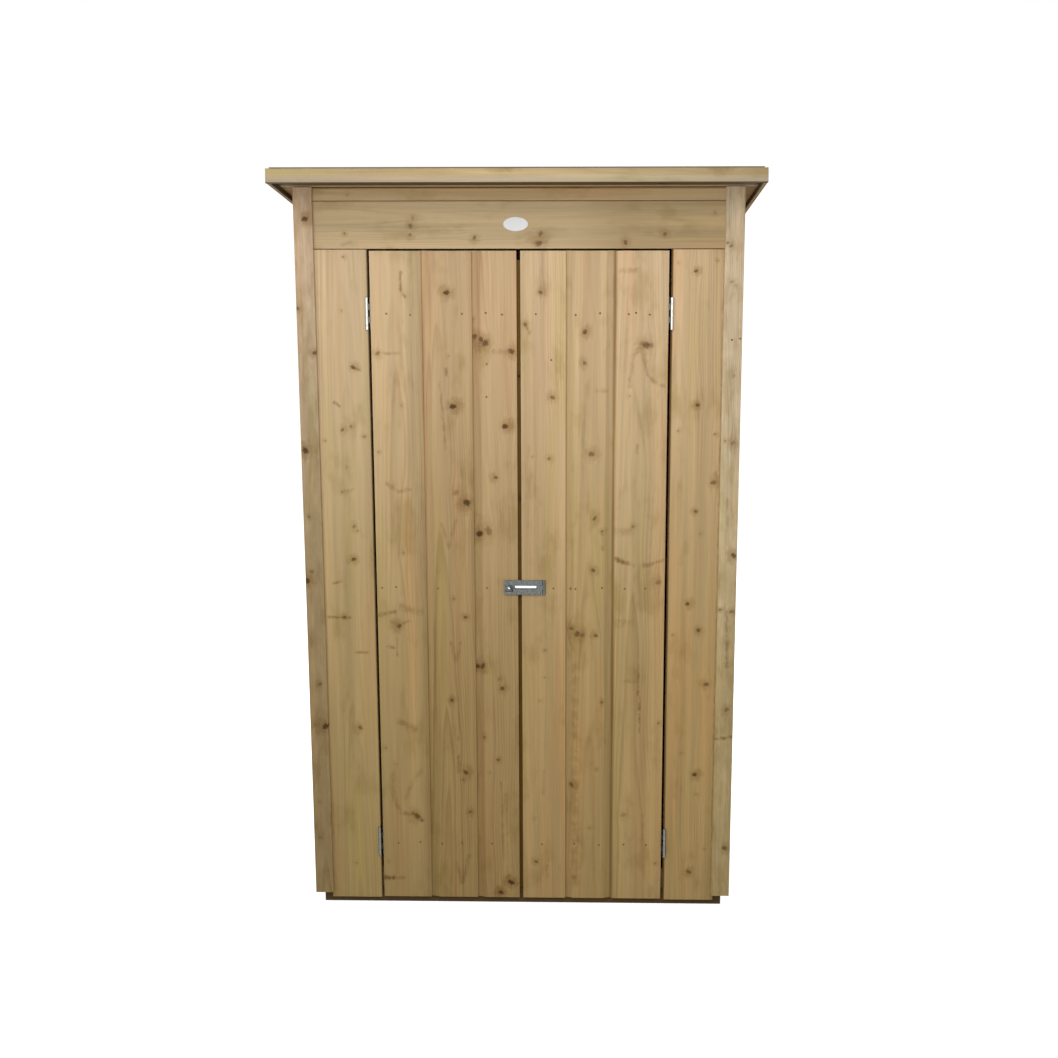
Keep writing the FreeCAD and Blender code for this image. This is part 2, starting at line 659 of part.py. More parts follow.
# The doors: three boards each, on three ledges and two braces
LEFT_BOARDS = ((-door_edge, -left_joint_outer, "square", "rebate"),
               (-left_joint_outer, -left_joint_inner, "lip", "rebate"),
               (-left_joint_inner, -meeting_left, "lip", "square"))
RIGHT_BOARDS = ((meeting_right, right_joint_inner, "square", "rebate"),
                (right_joint_inner, right_joint_outer, "lip", "lip"),
                (right_joint_outer, door_edge, "rebate", "square"))
LEDGES = {"top": ledge_top, "middle": ledge_middle, "bottom": ledge_bottom}
for door, boards in (("left_door", LEFT_BOARDS), ("right_door", RIGHT_BOARDS)):
    sign = -1 if door == "left_door" else 1
    for number, (low, high, low_edge, high_edge) in enumerate(boards):
        node = "%s_board_%d" % (door, number + 1)
        keep(node, board(node, ON_FRONT, low, high, (low_edge, high_edge), door_foot, door_top))
    free_end = -left_ledge_end if sign < 0 else right_ledge_end
    x_low, x_high = (-door_edge, free_end) if sign < 0 else (free_end, door_edge)
    for place, level in LEDGES.items():
        node = "%s_ledge_%s" % (door, place)
        piece = timber(node, (x_low, -board_back, level - ledge_high / 2),
                       (x_high, -frame_back, level + ledge_high / 2), "x")
        keep(node, piece)
    braces = []
    for place, below, above in (("upper", ledge_middle, ledge_top), ("lower", ledge_bottom, ledge_middle)):
        foot, head = below + ledge_high / 2, above - ledge_high / 2
        body = new_body("%s_%s_brace" % (door, place))
        sketch = new_sketch(body, body.Name + "_side", "XZ_Plane", frame_back)
        corners = [(brace_hinge * sign, foot), ((brace_hinge - brace_level) * sign, foot),
                   (brace_meeting * sign, head), ((brace_meeting + brace_level) * sign, head)]
        draw_outline(sketch, corners)
        pad(body, sketch, frame_thick)
        braces.append(body)
    group(door + "_braces", braces)

strip_body = timber("meeting_strip", (-strip_left, -board_back, strip_foot),
                    (strip_right, -board_back + strip_thick, strip_top), "z")
rebate_sketch = new_sketch(strip_body, "meeting_strip_rebate", "XY_Plane", strip_foot)
draw_rectangle(rebate_sketch, -meeting_left, -face, strip_right * 2, -board_back + strip_rebate)
pocket_through(strip_body, rebate_sketch)
keep("meeting_strip", strip_body)


def ring(body, name, level, length, u, v, radius):
    """A short round bar about a pin's axis, bored later."""
    sketch = new_sketch(body, name, "XY_Plane", level)
    draw_circle(sketch, u, v, radius)
    return pad(body, sketch, length)


def hinge_leaf(name, plate_x, first_knuckle, count, web):
    """One leaf of a butt hinge about a pin on the Z axis, the web's outline given."""
    body = new_body(name)
    plate = new_sketch(body, name + "_plate", "YZ_Plane", plate_x)
    draw_rectangle(plate, leaf_start, -hinge_long / 2, leaf_end, hinge_long / 2)
    pad(body, plate, leaf_thick)
    level = hinge_pitch * first_knuckle - hinge_long / 2
    web_sketch = new_sketch(body, name + "_web", "XY_Plane", level)
    draw_outline(web_sketch, web)
    web_pad = pad(body, web_sketch, knuckle_long)
    knuckle = ring(body, name + "_knuckle", level, knuckle_long, 0, 0, knuckle_radius)
    repeat(body, [web_pad, knuckle], count, hinge_pitch * 2 * (count - 1))
    bore = new_sketch(body, name + "_bore", "XY_Plane", 0)
    draw_circle(bore, 0, 0, pin_radius + pin_play)
    pocket_through(body, bore)
    holes = new_sketch(body, name + "_holes", "YZ_Plane", plate_x)
    for step in (-1, 0, 1):
        draw_circle(holes, leaf_screw_row, leaf_screw_pitch * step, screw_hole)
    pocket_through(body, holes)
    return body


def hole_rims(side_value, axis, radius):
    """Test for the round edges of holes in one flat face."""
    def wanted(edge):
        if not isinstance(edge.Curve, Part.Circle) or abs(edge.Curve.Radius - radius.number) > 1e-6:
            return False
        return abs(getattr(edge.Curve.Center, axis) - side_value.number) < 1e-6
    return wanted


# Butt hinges: a frame leaf with three knuckles, a door leaf with two, and a riveted pin
web_end = leaf_start + web_overlap
frame_x = knuckle_radius - leaf_thick
frame_outline = [(frame_x, frame_web), (knuckle_radius, frame_web),
                 (knuckle_radius, web_end), (frame_x, web_end)]
frame_leaf = hinge_leaf("frame_leaf", frame_x, 0, 3, frame_outline)
dress(frame_leaf, "Chamfer", hole_rims(knuckle_radius, "x", screw_hole), countersink)
step_end, web_back = leaf_step + leaf_thick, leaf_web + leaf_thick
door_outline = [(web_start, leaf_web), (step_end, leaf_web), (step_end, web_end),
                (leaf_step, web_end), (leaf_step, web_back), (web_start, web_back)]
door_leaf = hinge_leaf("door_leaf", leaf_step, 1, 2, door_outline)
dress(door_leaf, "Chamfer", hole_rims(leaf_step, "x", screw_hole), countersink)

hinge_pin = new_body("hinge_pin")
pin_sketch = new_sketch(hinge_pin, "hinge_pin_outline", "XZ_Plane", 0)
shaft_end = hinge_long / 2 + pin_head_gap
head_end = shaft_end + pin_head_high
head_flat = pin_head - pin_head_high
draw_outline(pin_sketch, [(0, -head_end), (head_flat, -head_end), (pin_head, -shaft_end),
                          (pin_radius, -shaft_end), (pin_radius, shaft_end), (pin_head, shaft_end),
                          (head_flat, head_end), (0, head_end)])
pin_turn = hinge_pin.newObject("PartDesign::Revolution", "hinge_pin_turn")
pin_turn.Profile = pin_sketch
pin_turn.ReferenceAxis = (pin_sketch, ["V_Axis"])
pin_turn.Angle = 360
hinge_pin.Tip = pin_turn


def hinge_copies(node, pattern, sides):
    """The same hinge piece at the top and bottom of each side given."""
    copies = []
    for side, sign in sides:
        for place, level in (("top", ledge_top), ("bottom", ledge_bottom)):
            link = doc.addObject("App::Link", "%s_%s_%s" % (node, side, place))
            link.LinkedObject = pattern
            turn = FreeCAD.Rotation(Vector(0, 1, 0), 0 if sign < 0 else 180)
            link.Placement = FreeCAD.Placement(Vector(0, 0, 0), turn)
            bind(link, "Placement.Base.x", pin_place * sign)
            bind(link, "Placement.Base.y", -face - pin_proud)
            bind(link, "Placement.Base.z", level)
            copies.append(link)
    return group(node, copies)


BOTH_SIDES = (("left", -1), ("right", 1))
hinge_copies("frame_hinge_leaves", frame_leaf, BOTH_SIDES)
hinge_copies("hinge_pins", hinge_pin, BOTH_SIDES)
hinge_copies("left_door_hinge_leaves", door_leaf, BOTH_SIDES[:1])
hinge_copies("right_door_hinge_leaves", door_leaf, BOTH_SIDES[1:])

# The hasp's hinge plate, on the right door
strap_bore = strap_pin_radius + pin_play
strap_y = -face - strap_pin_proud
notch_x = strap_pin - strap_clear
notch_half = strap_middle + knuckle_gap
plate = new_body("hasp_hinge_plate")
plate_sketch = new_sketch(plate, "hasp_hinge_plate_face", "XZ_Plane", face)
plate_low, plate_high = hasp_level - plate_half, hasp_level + plate_half
notch_low, notch_high = hasp_level - notch_half, hasp_level + notch_half
draw_outline(plate_sketch, [(hinge_plate_left, plate_low), (strap_pin, plate_low),
                            (strap_pin, notch_low), (notch_x, notch_low),
                            (notch_x, notch_high), (strap_pin, notch_high),
                            (strap_pin, plate_high), (hinge_plate_left, plate_high)])
pad(plate, plate_sketch, plate_thick)
outer_long = plate_half - notch_half
ring(plate, "hasp_lower_knuckle", plate_low, outer_long, strap_pin, strap_y, strap_knuckle)
ring(plate, "hasp_upper_knuckle", notch_high, outer_long, strap_pin, strap_y, strap_knuckle)
plate_bore = new_sketch(plate, "hasp_hinge_plate_bore", "XY_Plane", hasp_level)
draw_circle(plate_bore, strap_pin, strap_y, strap_bore)
pocket_through(plate, plate_bore)
plate_holes = new_sketch(plate, "hasp_hinge_plate_holes", "XZ_Plane", face)
for level in (hasp_level - plate_screw_high, hasp_level + plate_screw_high):
    for x in (plate_screw_left, plate_screw_right):
        draw_circle(plate_holes, x, level, screw_hole)
pocket_through(plate, plate_holes)
keep("hasp_hinge_plate", plate)

hasp_pin = doc.addObject("Part::Cylinder", "hasp_pin")
bind(hasp_pin, "Radius", strap_pin_radius)
bind(hasp_pin, "Height", plate_half * 2)
bind(hasp_pin, "Placement.Base.x", strap_pin)
bind(hasp_pin, "Placement.Base.y", strap_y)
bind(hasp_pin, "Placement.Base.z", plate_low)
keep("hasp_pin", hasp_pin)

# The strap: a pressed plate with a window for the eye, a rib and one knuckle
strap = new_body("hasp_strap")
strap_face = new_sketch(strap, "hasp_strap_face", "XZ_Plane", face + strap_lift)
low_z, high_z = hasp_level - strap_half, hasp_level + strap_half
corner_x, end_x = -strap_left + strap_corner, -strap_left
neck_x = strap_pin - strap_neck
neck_low, neck_high = hasp_level - strap_middle, hasp_level + strap_middle
draw_outline(strap_face,
             [(corner_x, low_z), (notch_x, low_z), (notch_x, neck_low), (neck_x, neck_low),
              (neck_x, neck_high), (notch_x, neck_high), (notch_x, high_z), (corner_x, high_z),
              (end_x, high_z - strap_corner), (end_x, low_z + strap_corner)],
             {7: ((corner_x, high_z - strap_corner), strap_corner),
              9: ((corner_x, low_z + strap_corner), strap_corner)})
pad(strap, strap_face, strap_thick)
ring(strap, "hasp_strap_knuckle", neck_low, strap_middle * 2, strap_pin, strap_y, strap_knuckle)
rib = new_sketch(strap, "hasp_strap_rib", "YZ_Plane", -rib_left)
rib_root, rib_face = -face - strap_lift - strap_thick / 2, -face - strap_lift - strap_thick
rib_low, rib_high = hasp_level - rib_half, hasp_level + rib_half
rib_radius = (rib_half * rib_half + rib_proud * rib_proud) / (2 * rib_proud)
draw_outline(rib, [(rib_root, rib_low), (rib_face, rib_low), (rib_face, rib_high), (rib_root, rib_high)],
             {1: ((rib_face - rib_proud + rib_radius, hasp_level), rib_radius)})
pad(strap, rib, rib_left + rib_right)
for end_name, end_x, inwards in (("left", -rib_left, rib_proud), ("right", rib_right, -rib_proud)):
    rib_end = new_sketch(strap, "hasp_strap_rib_" + end_name, "XY_Plane", hasp_level)
    crown = rib_face - rib_proud
    draw_outline(rib_end, [(end_x, rib_face), (end_x, crown - rib_proud),
                           (end_x + inwards, crown - rib_proud), (end_x + inwards, crown)],
                 {3: ((end_x + inwards, rib_face), rib_proud)})
    pocket_through(strap, rib_end)
window = new_sketch(strap, "hasp_strap_window", "XZ_Plane", face)
draw_rounded(window, -window_left, eye_level - window_half,
             -window_right, eye_level + window_half, window_corner)
pocket_through(strap, window)
strap_hole = new_sketch(strap, "hasp_strap_bore", "XY_Plane", hasp_level)
draw_circle(strap_hole, strap_pin, strap_y, strap_bore)
pocket_through(strap, strap_hole)
keep("hasp_strap", strap)

# The staple's plate, on the left door, with the hole that its eye turns in
staple = new_body("staple_plate")
staple_face = new_sketch(staple, "staple_plate_face", "XZ_Plane", face)
draw_rounded(staple_face, -eye_place - staple_half_wide, hasp_level - plate_half,
             -eye_place + staple_half_wide, hasp_level + plate_half, window_corner)
pad(staple, staple_face, plate_thick)
staple_holes = new_sketch(staple, "staple_plate_holes", "XZ_Plane", face)
draw_circle(staple_holes, -eye_place, eye_level, spindle_radius + pin_play)
for x in (-eye_place - staple_screw_wide, -eye_place + staple_screw_wide):
    for level in (hasp_level - staple_screw_high, hasp_level + staple_screw_high):
        draw_circle(staple_holes, x, level, staple_screw_hole)
pocket_through(staple, staple_holes)
keep("staple_plate", staple)

# The turning eye: spindle, collar and a blade with a hole for a padlock
eye = new_body("staple_eye")
for part_name, start, long, radius in (("spindle", spindle_end, collar_lift - spindle_end, spindle_radius),
                                       ("collar", collar_lift, collar_thick, collar_radius)):
    sketch = new_sketch(eye, "staple_eye_" + part_name, "XZ_Plane", start)
    draw_circle(sketch, 0, 0, radius)
    pad(eye, sketch, long)
blade = new_sketch(eye, "staple_eye_blade", "XY_Plane", -eye_thick / 2)
blade_root = -collar_lift - collar_thick / 2
shoulder = -eye_proud + eye_crown
tip_radius = (eye_half * eye_half + eye_crown * eye_crown) / (2 * eye_crown)
draw_outline(blade, [(-eye_half + eye_bevel, blade_root), (-eye_half, blade_root - eye_bevel),
                     (-eye_half, shoulder), (eye_half, shoulder),
                     (eye_half, blade_root - eye_bevel), (eye_half - eye_bevel, blade_root)],
             {2: ((0, -eye_proud + tip_radius), tip_radius)})
pad(eye, blade, eye_thick)
eye_bore = new_sketch(eye, "staple_eye_hole", "XY_Plane", 0)
draw_circle(eye_bore, 0, -eye_hole_proud, eye_hole)
pocket_through(eye, eye_bore)
eye.Placement = FreeCAD.Placement(Vector(0, 0, 0), FreeCAD.Rotation(Vector(0, 1, 0), 10))
bind(eye, "Placement.Base.x", -eye_place)
bind(eye, "Placement.Base.y", -face)
bind(eye, "Placement.Base.z", eye_level)
bind(eye, "Placement.Rotation.Angle", eye_turn)
keep("staple_eye", eye)


def oval(name, half_wide, half_high, start, thick):
    """An upright oval plate, its back the given distance in front of the header."""
    curve = doc.addObject("Part::Ellipse", name + "_curve")
    bind(curve, "MajorRadius", half_wide)
    bind(curve, "MinorRadius", half_high)
    curve.Placement = FreeCAD.Placement(Vector(0, 0, 0), FreeCAD.Rotation(Vector(1, 0, 0), 90))
    bind(curve, "Placement.Base.x", -badge_place)
    bind(curve, "Placement.Base.y", -face - start)
    bind(curve, "Placement.Base.z", badge_level)
    solid = doc.addObject("Part::Extrusion", name)
    solid.Base = curve
    solid.DirMode = "Custom"
    solid.Dir = Vector(0, -1, 0)
    bind(solid, "LengthFwd", thick)
    solid.Solid = True
    return solid


# The plain oval badge on the header, with a raised rim
badge_whole = badge_thick + badge_rim_high
badge_blank = oval("badge_blank", badge_half_wide, badge_half_high, measure(0), badge_whole)
badge_hollow = oval("badge_hollow", badge_half_wide - badge_rim, badge_half_high - badge_rim,
                    badge_thick, badge_rim_high + 1)
badge = doc.addObject("Part::Cut", "badge_plate")
badge.Base = badge_blank
badge.Tool = badge_hollow
keep("badge_plate", badge)

doc.recompute()
for item in doc.Objects:
    if "Invalid" in item.State or "Error" in item.State:
        raise RuntimeError("%s is %s" % (item.Name, item.State))
os.makedirs("parts", exist_ok=True)
solids = 0
for node, item in sorted(nodes.items()):
    shape = item.Shape
    if shape.isNull() or not shape.isValid() or not shape.Solids:
        raise RuntimeError("bad shape: " + node)
    solids += len(shape.Solids)
    shape.exportStep(os.path.join("parts", node + ".step"))
print("%d nodes, %d solids" % (len(nodes), solids))
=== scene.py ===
import math
import random

import bpy
from mathutils import Matrix, Vector


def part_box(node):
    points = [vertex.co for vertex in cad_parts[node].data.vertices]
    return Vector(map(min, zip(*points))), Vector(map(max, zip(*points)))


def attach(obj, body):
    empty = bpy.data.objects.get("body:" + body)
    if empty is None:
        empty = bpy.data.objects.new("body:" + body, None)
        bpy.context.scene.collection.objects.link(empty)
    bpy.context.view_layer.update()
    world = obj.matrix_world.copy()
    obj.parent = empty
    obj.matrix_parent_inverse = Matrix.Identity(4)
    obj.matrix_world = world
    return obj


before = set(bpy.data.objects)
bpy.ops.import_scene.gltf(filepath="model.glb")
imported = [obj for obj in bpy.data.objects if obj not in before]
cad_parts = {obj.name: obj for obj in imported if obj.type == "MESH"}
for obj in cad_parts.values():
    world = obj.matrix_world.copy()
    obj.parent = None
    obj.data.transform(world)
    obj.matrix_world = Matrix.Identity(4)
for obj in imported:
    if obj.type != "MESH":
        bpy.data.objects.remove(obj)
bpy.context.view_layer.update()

# Floor bearers and floor panel
# Three sawn softwood bearers lie across the width and carry the whole cabinet. They are
# much darker than the other timber. A plain board panel is nailed down on them.


class Recipe:
    """Adds the nodes of one finish, one after another."""

    def __init__(self, tree):
        self.tree = tree

    def feed(self, socket, value):
        if isinstance(value, bpy.types.NodeSocket):
            self.tree.links.new(value, socket)
        elif socket.type == "RGBA" and len(value) == 3:
            socket.default_value = (*value, 1.0)
        else:
            socket.default_value = value

    def add(self, kind, inputs=None, **settings):
        node = self.tree.nodes.new(kind)
        for name, value in settings.items():
            setattr(node, name, value)
        for name, value in (inputs or {}).items():
            self.feed(node.inputs[name], value)
        return node

    def number(self, how, *values, clamp=False):
        node = self.add("ShaderNodeMath", operation=how, use_clamp=clamp)
        for socket, value in zip(node.inputs, values):
            self.feed(socket, value)
        return node.outputs[0]

    def times(self, *values):
        return self.number("MULTIPLY", *values)

    def scaled(self, value, factor, start):
        return self.number("MULTIPLY_ADD", value, factor, start)

    def vector(self, how, *values):
        node = self.add("ShaderNodeVectorMath", operation=how)
        for socket, value in zip(node.inputs, values):
            self.feed(socket, value)
        wants_number = how in ("LENGTH", "DOT_PRODUCT", "DISTANCE")
        return node.outputs["Value" if wants_number else "Vector"]

    def split(self, vector):
        return self.add("ShaderNodeSeparateXYZ", {"Vector": vector}).outputs

    def join(self, x, y, z):
        return self.add("ShaderNodeCombineXYZ", {"X": x, "Y": y, "Z": z}).outputs[0]

    def blend(self, amount, first, second, how="MIX"):
        node = self.add("ShaderNodeMix", data_type="RGBA", blend_type=how)
        for place, value in ((0, amount), (6, first), (7, second)):
            self.feed(node.inputs[place], value)
        return node.outputs[2]

    def stain(self, amount, colour, tone):
        """The colour with a tone laid over it, as a stain or a wash does."""
        return self.blend(amount, colour, tone, "MULTIPLY")

    def ramp(self, value, start, end, low=0.0, high=1.0):
        ends = {"Value": value, "From Min": start, "From Max": end, "To Min": low, "To Max": high}
        return self.add("ShaderNodeMapRange", ends, interpolation_type="SMOOTHSTEP").outputs[0]

    def noise(self, place, stretch, detail=2.0, roughness=0.5):
        scaled = self.vector("MULTIPLY", place, stretch)
        wants = {"Vector": scaled, "Scale": 1.0, "Detail": detail, "Roughness": roughness}
        return self.add("ShaderNodeTexNoise", wants).outputs["Fac"]

    def coat(self, looks, relief, strength, distance, **settings):
        """Ends a finish: the looks of its surface, and its fine relief."""
        bump = self.add("ShaderNodeBump", {"Height": relief, "Strength": strength,
                                           "Distance": distance}, **settings)
        surface = self.add("ShaderNodeBsdfPrincipled", {**looks, "Normal": bump.outputs[0]})
        self.add("ShaderNodeOutputMaterial", {"Surface": surface.outputs[0]})


def new_finish(name):
    """Starts a finish that has no nodes yet."""
    finish = bpy.data.materials.new(name)
    finish.use_nodes = True
    finish.node_tree.nodes.clear()
    return finish, Recipe(finish.node_tree)


def new_pattern(name, inputs, outputs):
    """Starts a node group with the sockets that are named."""
    tree = bpy.data.node_groups.new(name, "ShaderNodeTree")
    for kinds, way in ((inputs, "INPUT"), (outputs, "OUTPUT")):
        for socket, kind in kinds:
            tree.interface.new_socket(name=socket, in_out=way, socket_type="NodeSocket" + kind)
    recipe = Recipe(tree)
    start = recipe.add("NodeGroupInput").outputs
    end = recipe.add("NodeGroupOutput").inputs
    return tree, recipe, start, end


def knot_pattern():
    """A knot: the grain parts round it, its core is dark and the wood near it is tinged.
    Its reaches are measured in its own size."""
    tree, r, given, result = new_pattern(
        "knot",
        [("Place", "Vector"), ("Spot", "Vector"), ("Size", "Float"), ("Dark", "Float"),
         ("Lean", "Float"), ("Side", "Float"), ("Squash", "Float"), ("Core", "Float"),
         ("Halo", "Float")],
        [("Place", "Vector"), ("Core", "Float"), ("Halo", "Float")])
    offset = r.vector("SUBTRACT", given["Place"], given["Spot"])
    halo_share, bend_across, bend_along, bend = 0.62, 2.4, 5.5, 0.85
    across, along, _ = r.split(offset)
    across = r.number("DIVIDE", across, given["Size"])
    along = r.number("DIVIDE", along, given["Size"])
    leaning = r.scaled(along, given["Lean"], across)
    uneven = r.scaled(r.noise(given["Place"], (190.0, 160.0, 60.0), 2.0), 1.3, -0.65)
    squashed = r.times(along, given["Squash"])
    flat = r.join(r.times(leaning, 0.85), squashed, 0.0)
    reach = r.number("ADD", r.vector("LENGTH", flat), uneven)
    core = r.times(r.ramp(reach, 1.3, 0.5), given["Dark"])
    r.feed(result["Core"], r.number("MAXIMUM", core, given["Core"]))
    sideways = r.number("ADD", across, given["Side"])
    wider = r.join(r.times(sideways, halo_share), r.times(squashed, halo_share), 0.0)
    ragged = r.scaled(r.noise(given["Place"], (110.0, 90.0, 60.0), 3.0, 0.65), 3.0, -1.5)
    halo = r.ramp(r.number("ADD", r.vector("LENGTH", wider), ragged), 2.6, 0.6)
    halo = r.times(halo, given["Dark"])
    r.feed(result["Halo"], r.number("MAXIMUM", halo, given["Halo"]))
    wide = r.number("POWER", r.number("DIVIDE", across, bend_across), 2.0)
    tall = r.number("POWER", r.number("DIVIDE", along, bend_along), 2.0)
    pull = r.number("POWER", math.e, r.times(r.number("ADD", wide, tall), -1.0))
    shift = r.times(r.split(offset)[0], r.times(pull, -bend))
    r.feed(result["Place"], r.vector("ADD", given["Place"], r.join(shift, 0.0, 0.0)))
    return tree


def streak_pattern():
    """A dark streak, a crack or the edge of a whorl: a soft line between two points."""
    tree, r, given, result = new_pattern(
        "streak",
        [("Place", "Vector"), ("Start", "Vector"), ("End", "Vector"), ("Width", "Float"),
         ("Dark", "Float"), ("Streak", "Float")],
        [("Streak", "Float")])
    flat = r.vector("MULTIPLY", given["Place"], (1.0, 1.0, 0.0))
    from_start = r.vector("SUBTRACT", flat, given["Start"])
    line = r.vector("SUBTRACT", given["End"], given["Start"])
    part = r.number("DIVIDE", r.vector("DOT_PRODUCT", from_start, line),
                    r.vector("DOT_PRODUCT", line, line), clamp=True)
    nearest = r.add("ShaderNodeVectorMath", {0: line, "Scale": part}, operation="SCALE")
    reach = r.vector("LENGTH", r.vector("SUBTRACT", from_start, nearest.outputs["Vector"]))
    uneven = r.noise(given["Place"], (95.0, 55.0, 60.0), 3.0, 0.65)
    reach = r.number("DIVIDE", reach, given["Width"])
    widest_ragged, raggedness = 0.008, 2.2
    spread = r.number("MINIMUM", r.number("DIVIDE", widest_ragged, given["Width"]), 1.0)
    spread = r.times(spread, raggedness)
    uneven = r.scaled(uneven, spread, r.times(spread, -0.5))
    dark = r.times(r.ramp(r.number("ADD", reach, uneven), 1.1, 0.0), given["Dark"])
    r.feed(result["Streak"], r.number("MAXIMUM", dark, given["Streak"]))
    return tree


def softwood_pattern():
    """Flat-sawn softwood: growth rings round a pith that wanders along the board, fine
    fibres, and the uneven tinge that the dip leaves. Place is across, along and into it."""
    tree, r, given, result = new_pattern(
        "softwood",
        [("Place", "Vector"), ("Seed", "Float"), ("Pith", "Vector"), ("Ring", "Float"),
         ("Pale", "Color"), ("Dark", "Color"), ("Core", "Float"), ("Halo", "Float"),
         ("Streak", "Float"), ("End", "Float"), ("Sawn", "Float"), ("Figure", "Float"),
         ("Soaked", "Float")],
        [("Color", "Color"), ("Roughness", "Float"), ("Height", "Float")])
    offset = r.vector("MULTIPLY", r.join(given["Seed"], given["Seed"], given["Seed"]),
                      (3.17, 7.31, 1.93))
    place = r.vector("ADD", given["Place"], offset)
    across, along, into = r.split(given["Place"])
    pith_across, pith_into, drift = r.split(given["Pith"])
    wander = r.noise(place, (4.0, 1.1, 4.0), 2.0)
    ripple = r.noise(place, (38.0, 4.0, 38.0), 2.0)
    side = r.number("SUBTRACT", across, pith_across)
    side = r.scaled(wander, 0.05, side)
    depth = r.number("SUBTRACT", into, pith_into)
    depth = r.number("SUBTRACT", depth, r.times(along, drift))
    radius = r.vector("LENGTH", r.join(side, depth, 0.0))
    radius = r.scaled(wander, 0.02, radius)
    radius = r.scaled(ripple, 0.0028, radius)
    year = r.number("DIVIDE", radius, given["Ring"])
    slow = r.add("ShaderNodeTexNoise", {"W": year, "Scale": 0.37, "Detail": 1.0},
                 noise_dimensions="1D").outputs["Fac"]
    year = r.scaled(slow, 1.5, year)
    season = r.number("FRACT", year)
    late = r.times(r.ramp(season, 0.1, 0.85), r.ramp(season, 1.0, 0.88))
    good_year = r.add("ShaderNodeTexNoise", {"W": year, "Scale": 0.9, "Detail": 0.0},
                      noise_dimensions="1D").outputs["Fac"]
    late = r.times(late, r.ramp(good_year, 0.25, 0.75, 0.25, 1.0))
    shown = r.ramp(r.noise(place, (9.0, 1.6, 9.0), 2.0), 0.35, 0.65, 0.25, 1.0)
    late = r.times(late, r.times(shown, given["Figure"]))
    fibre = r.noise(place, (430.0, 6.0, 430.0), 3.0, 0.7)
    band = r.noise(place, (70.0, 1.3, 70.0), 3.0, 0.6)
    broad = r.noise(place, (24.0, 0.7, 24.0), 2.0)
    tinge = r.noise(place, (17.0, 1.1, 17.0), 2.0)
    patch = r.noise(place, (16.0, 7.0, 16.0), 3.0, 0.6)
    base = r.blend(late, given["Pale"], given["Dark"])
    lift = r.scaled(fibre, 0.4, 0.8)
    lift = r.times(lift, r.scaled(band, 0.36, 0.82))
    lift = r.times(lift, r.scaled(broad, 0.66, 0.67))
    base = r.vector("MULTIPLY", base, r.join(lift, lift, lift))
    warmer, greener, duller = (1.05, 0.97, 0.93), (0.965, 1.0, 0.86), (0.84, 0.82, 0.72)
    base = r.stain(r.ramp(tinge, 0.5, 0.72), base, warmer)
    base = r.stain(r.ramp(tinge, 0.48, 0.3), base, greener)
    base = r.stain(r.ramp(patch, 0.52, 0.72), base, duller)
    round_knot, in_streak = (0.57, 0.44, 0.25), (0.4, 0.29, 0.16)
    base = r.stain(r.times(given["Halo"], 0.55), base, round_knot)
    clear = r.ramp(r.noise(place, (55.0, 55.0, 55.0), 2.0, 0.6), 0.36, 0.58, 0.35, 1.0)
    base = r.stain(r.times(given["Streak"], clear), base, in_streak)
    heart_dark, heart_pale = (0.042, 0.019, 0.005), (0.15, 0.077, 0.022)
    heart = r.blend(r.noise(place, (260.0, 260.0, 260.0), 1.0), heart_dark, heart_pale)
    base = r.blend(r.times(given["Core"], 0.92), base, heart)
    sawn_end, low_shade_tone = (0.66, 0.58, 0.5), (0.84, 0.81, 0.62)
    base = r.stain(given["End"], base, sawn_end)
    # Painted shade: the wood is made darker and yellower low down, where less light falls.
    base = r.stain(given["Soaked"], base, low_shade_tone)
    r.feed(result["Color"], base)
    r.feed(result["Roughness"], r.scaled(fibre, 0.12, r.scaled(late, -0.07, 0.72)))
    saw = r.times(r.noise(place, (40.0, 650.0, 650.0), 1.0), given["Sawn"])
    height = r.number("ADD", r.times(fibre, 0.5), r.times(late, 0.25))
    height = r.number("SUBTRACT", r.number("ADD", height, saw), r.times(given["Core"], 0.8))
    height = r.number("SUBTRACT", height, r.times(given["Streak"], 0.6))
    r.feed(result["Height"], height)
    return tree


knot = knot_pattern()
streak = streak_pattern()
softwood = softwood_pattern()

pale_wood = (0.594, 0.438, 0.254)
dark_wood = (0.385, 0.250, 0.118)


def shade(colour, amount):
    """A colour made lighter or darker by one factor, or by one for each of its parts."""
    parts = amount if isinstance(amount, tuple) else (amount, amount, amount)
    return tuple(part * each for part, each in zip(colour, parts))


def dress(node, finish):
    """Gives a CAD node its finish in place of the plain one."""
    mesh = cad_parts[node].data
    mesh.materials.clear()
    mesh.materials.append(finish)


def middle_of(node):
    low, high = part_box(node)
    return (low + high) / 2


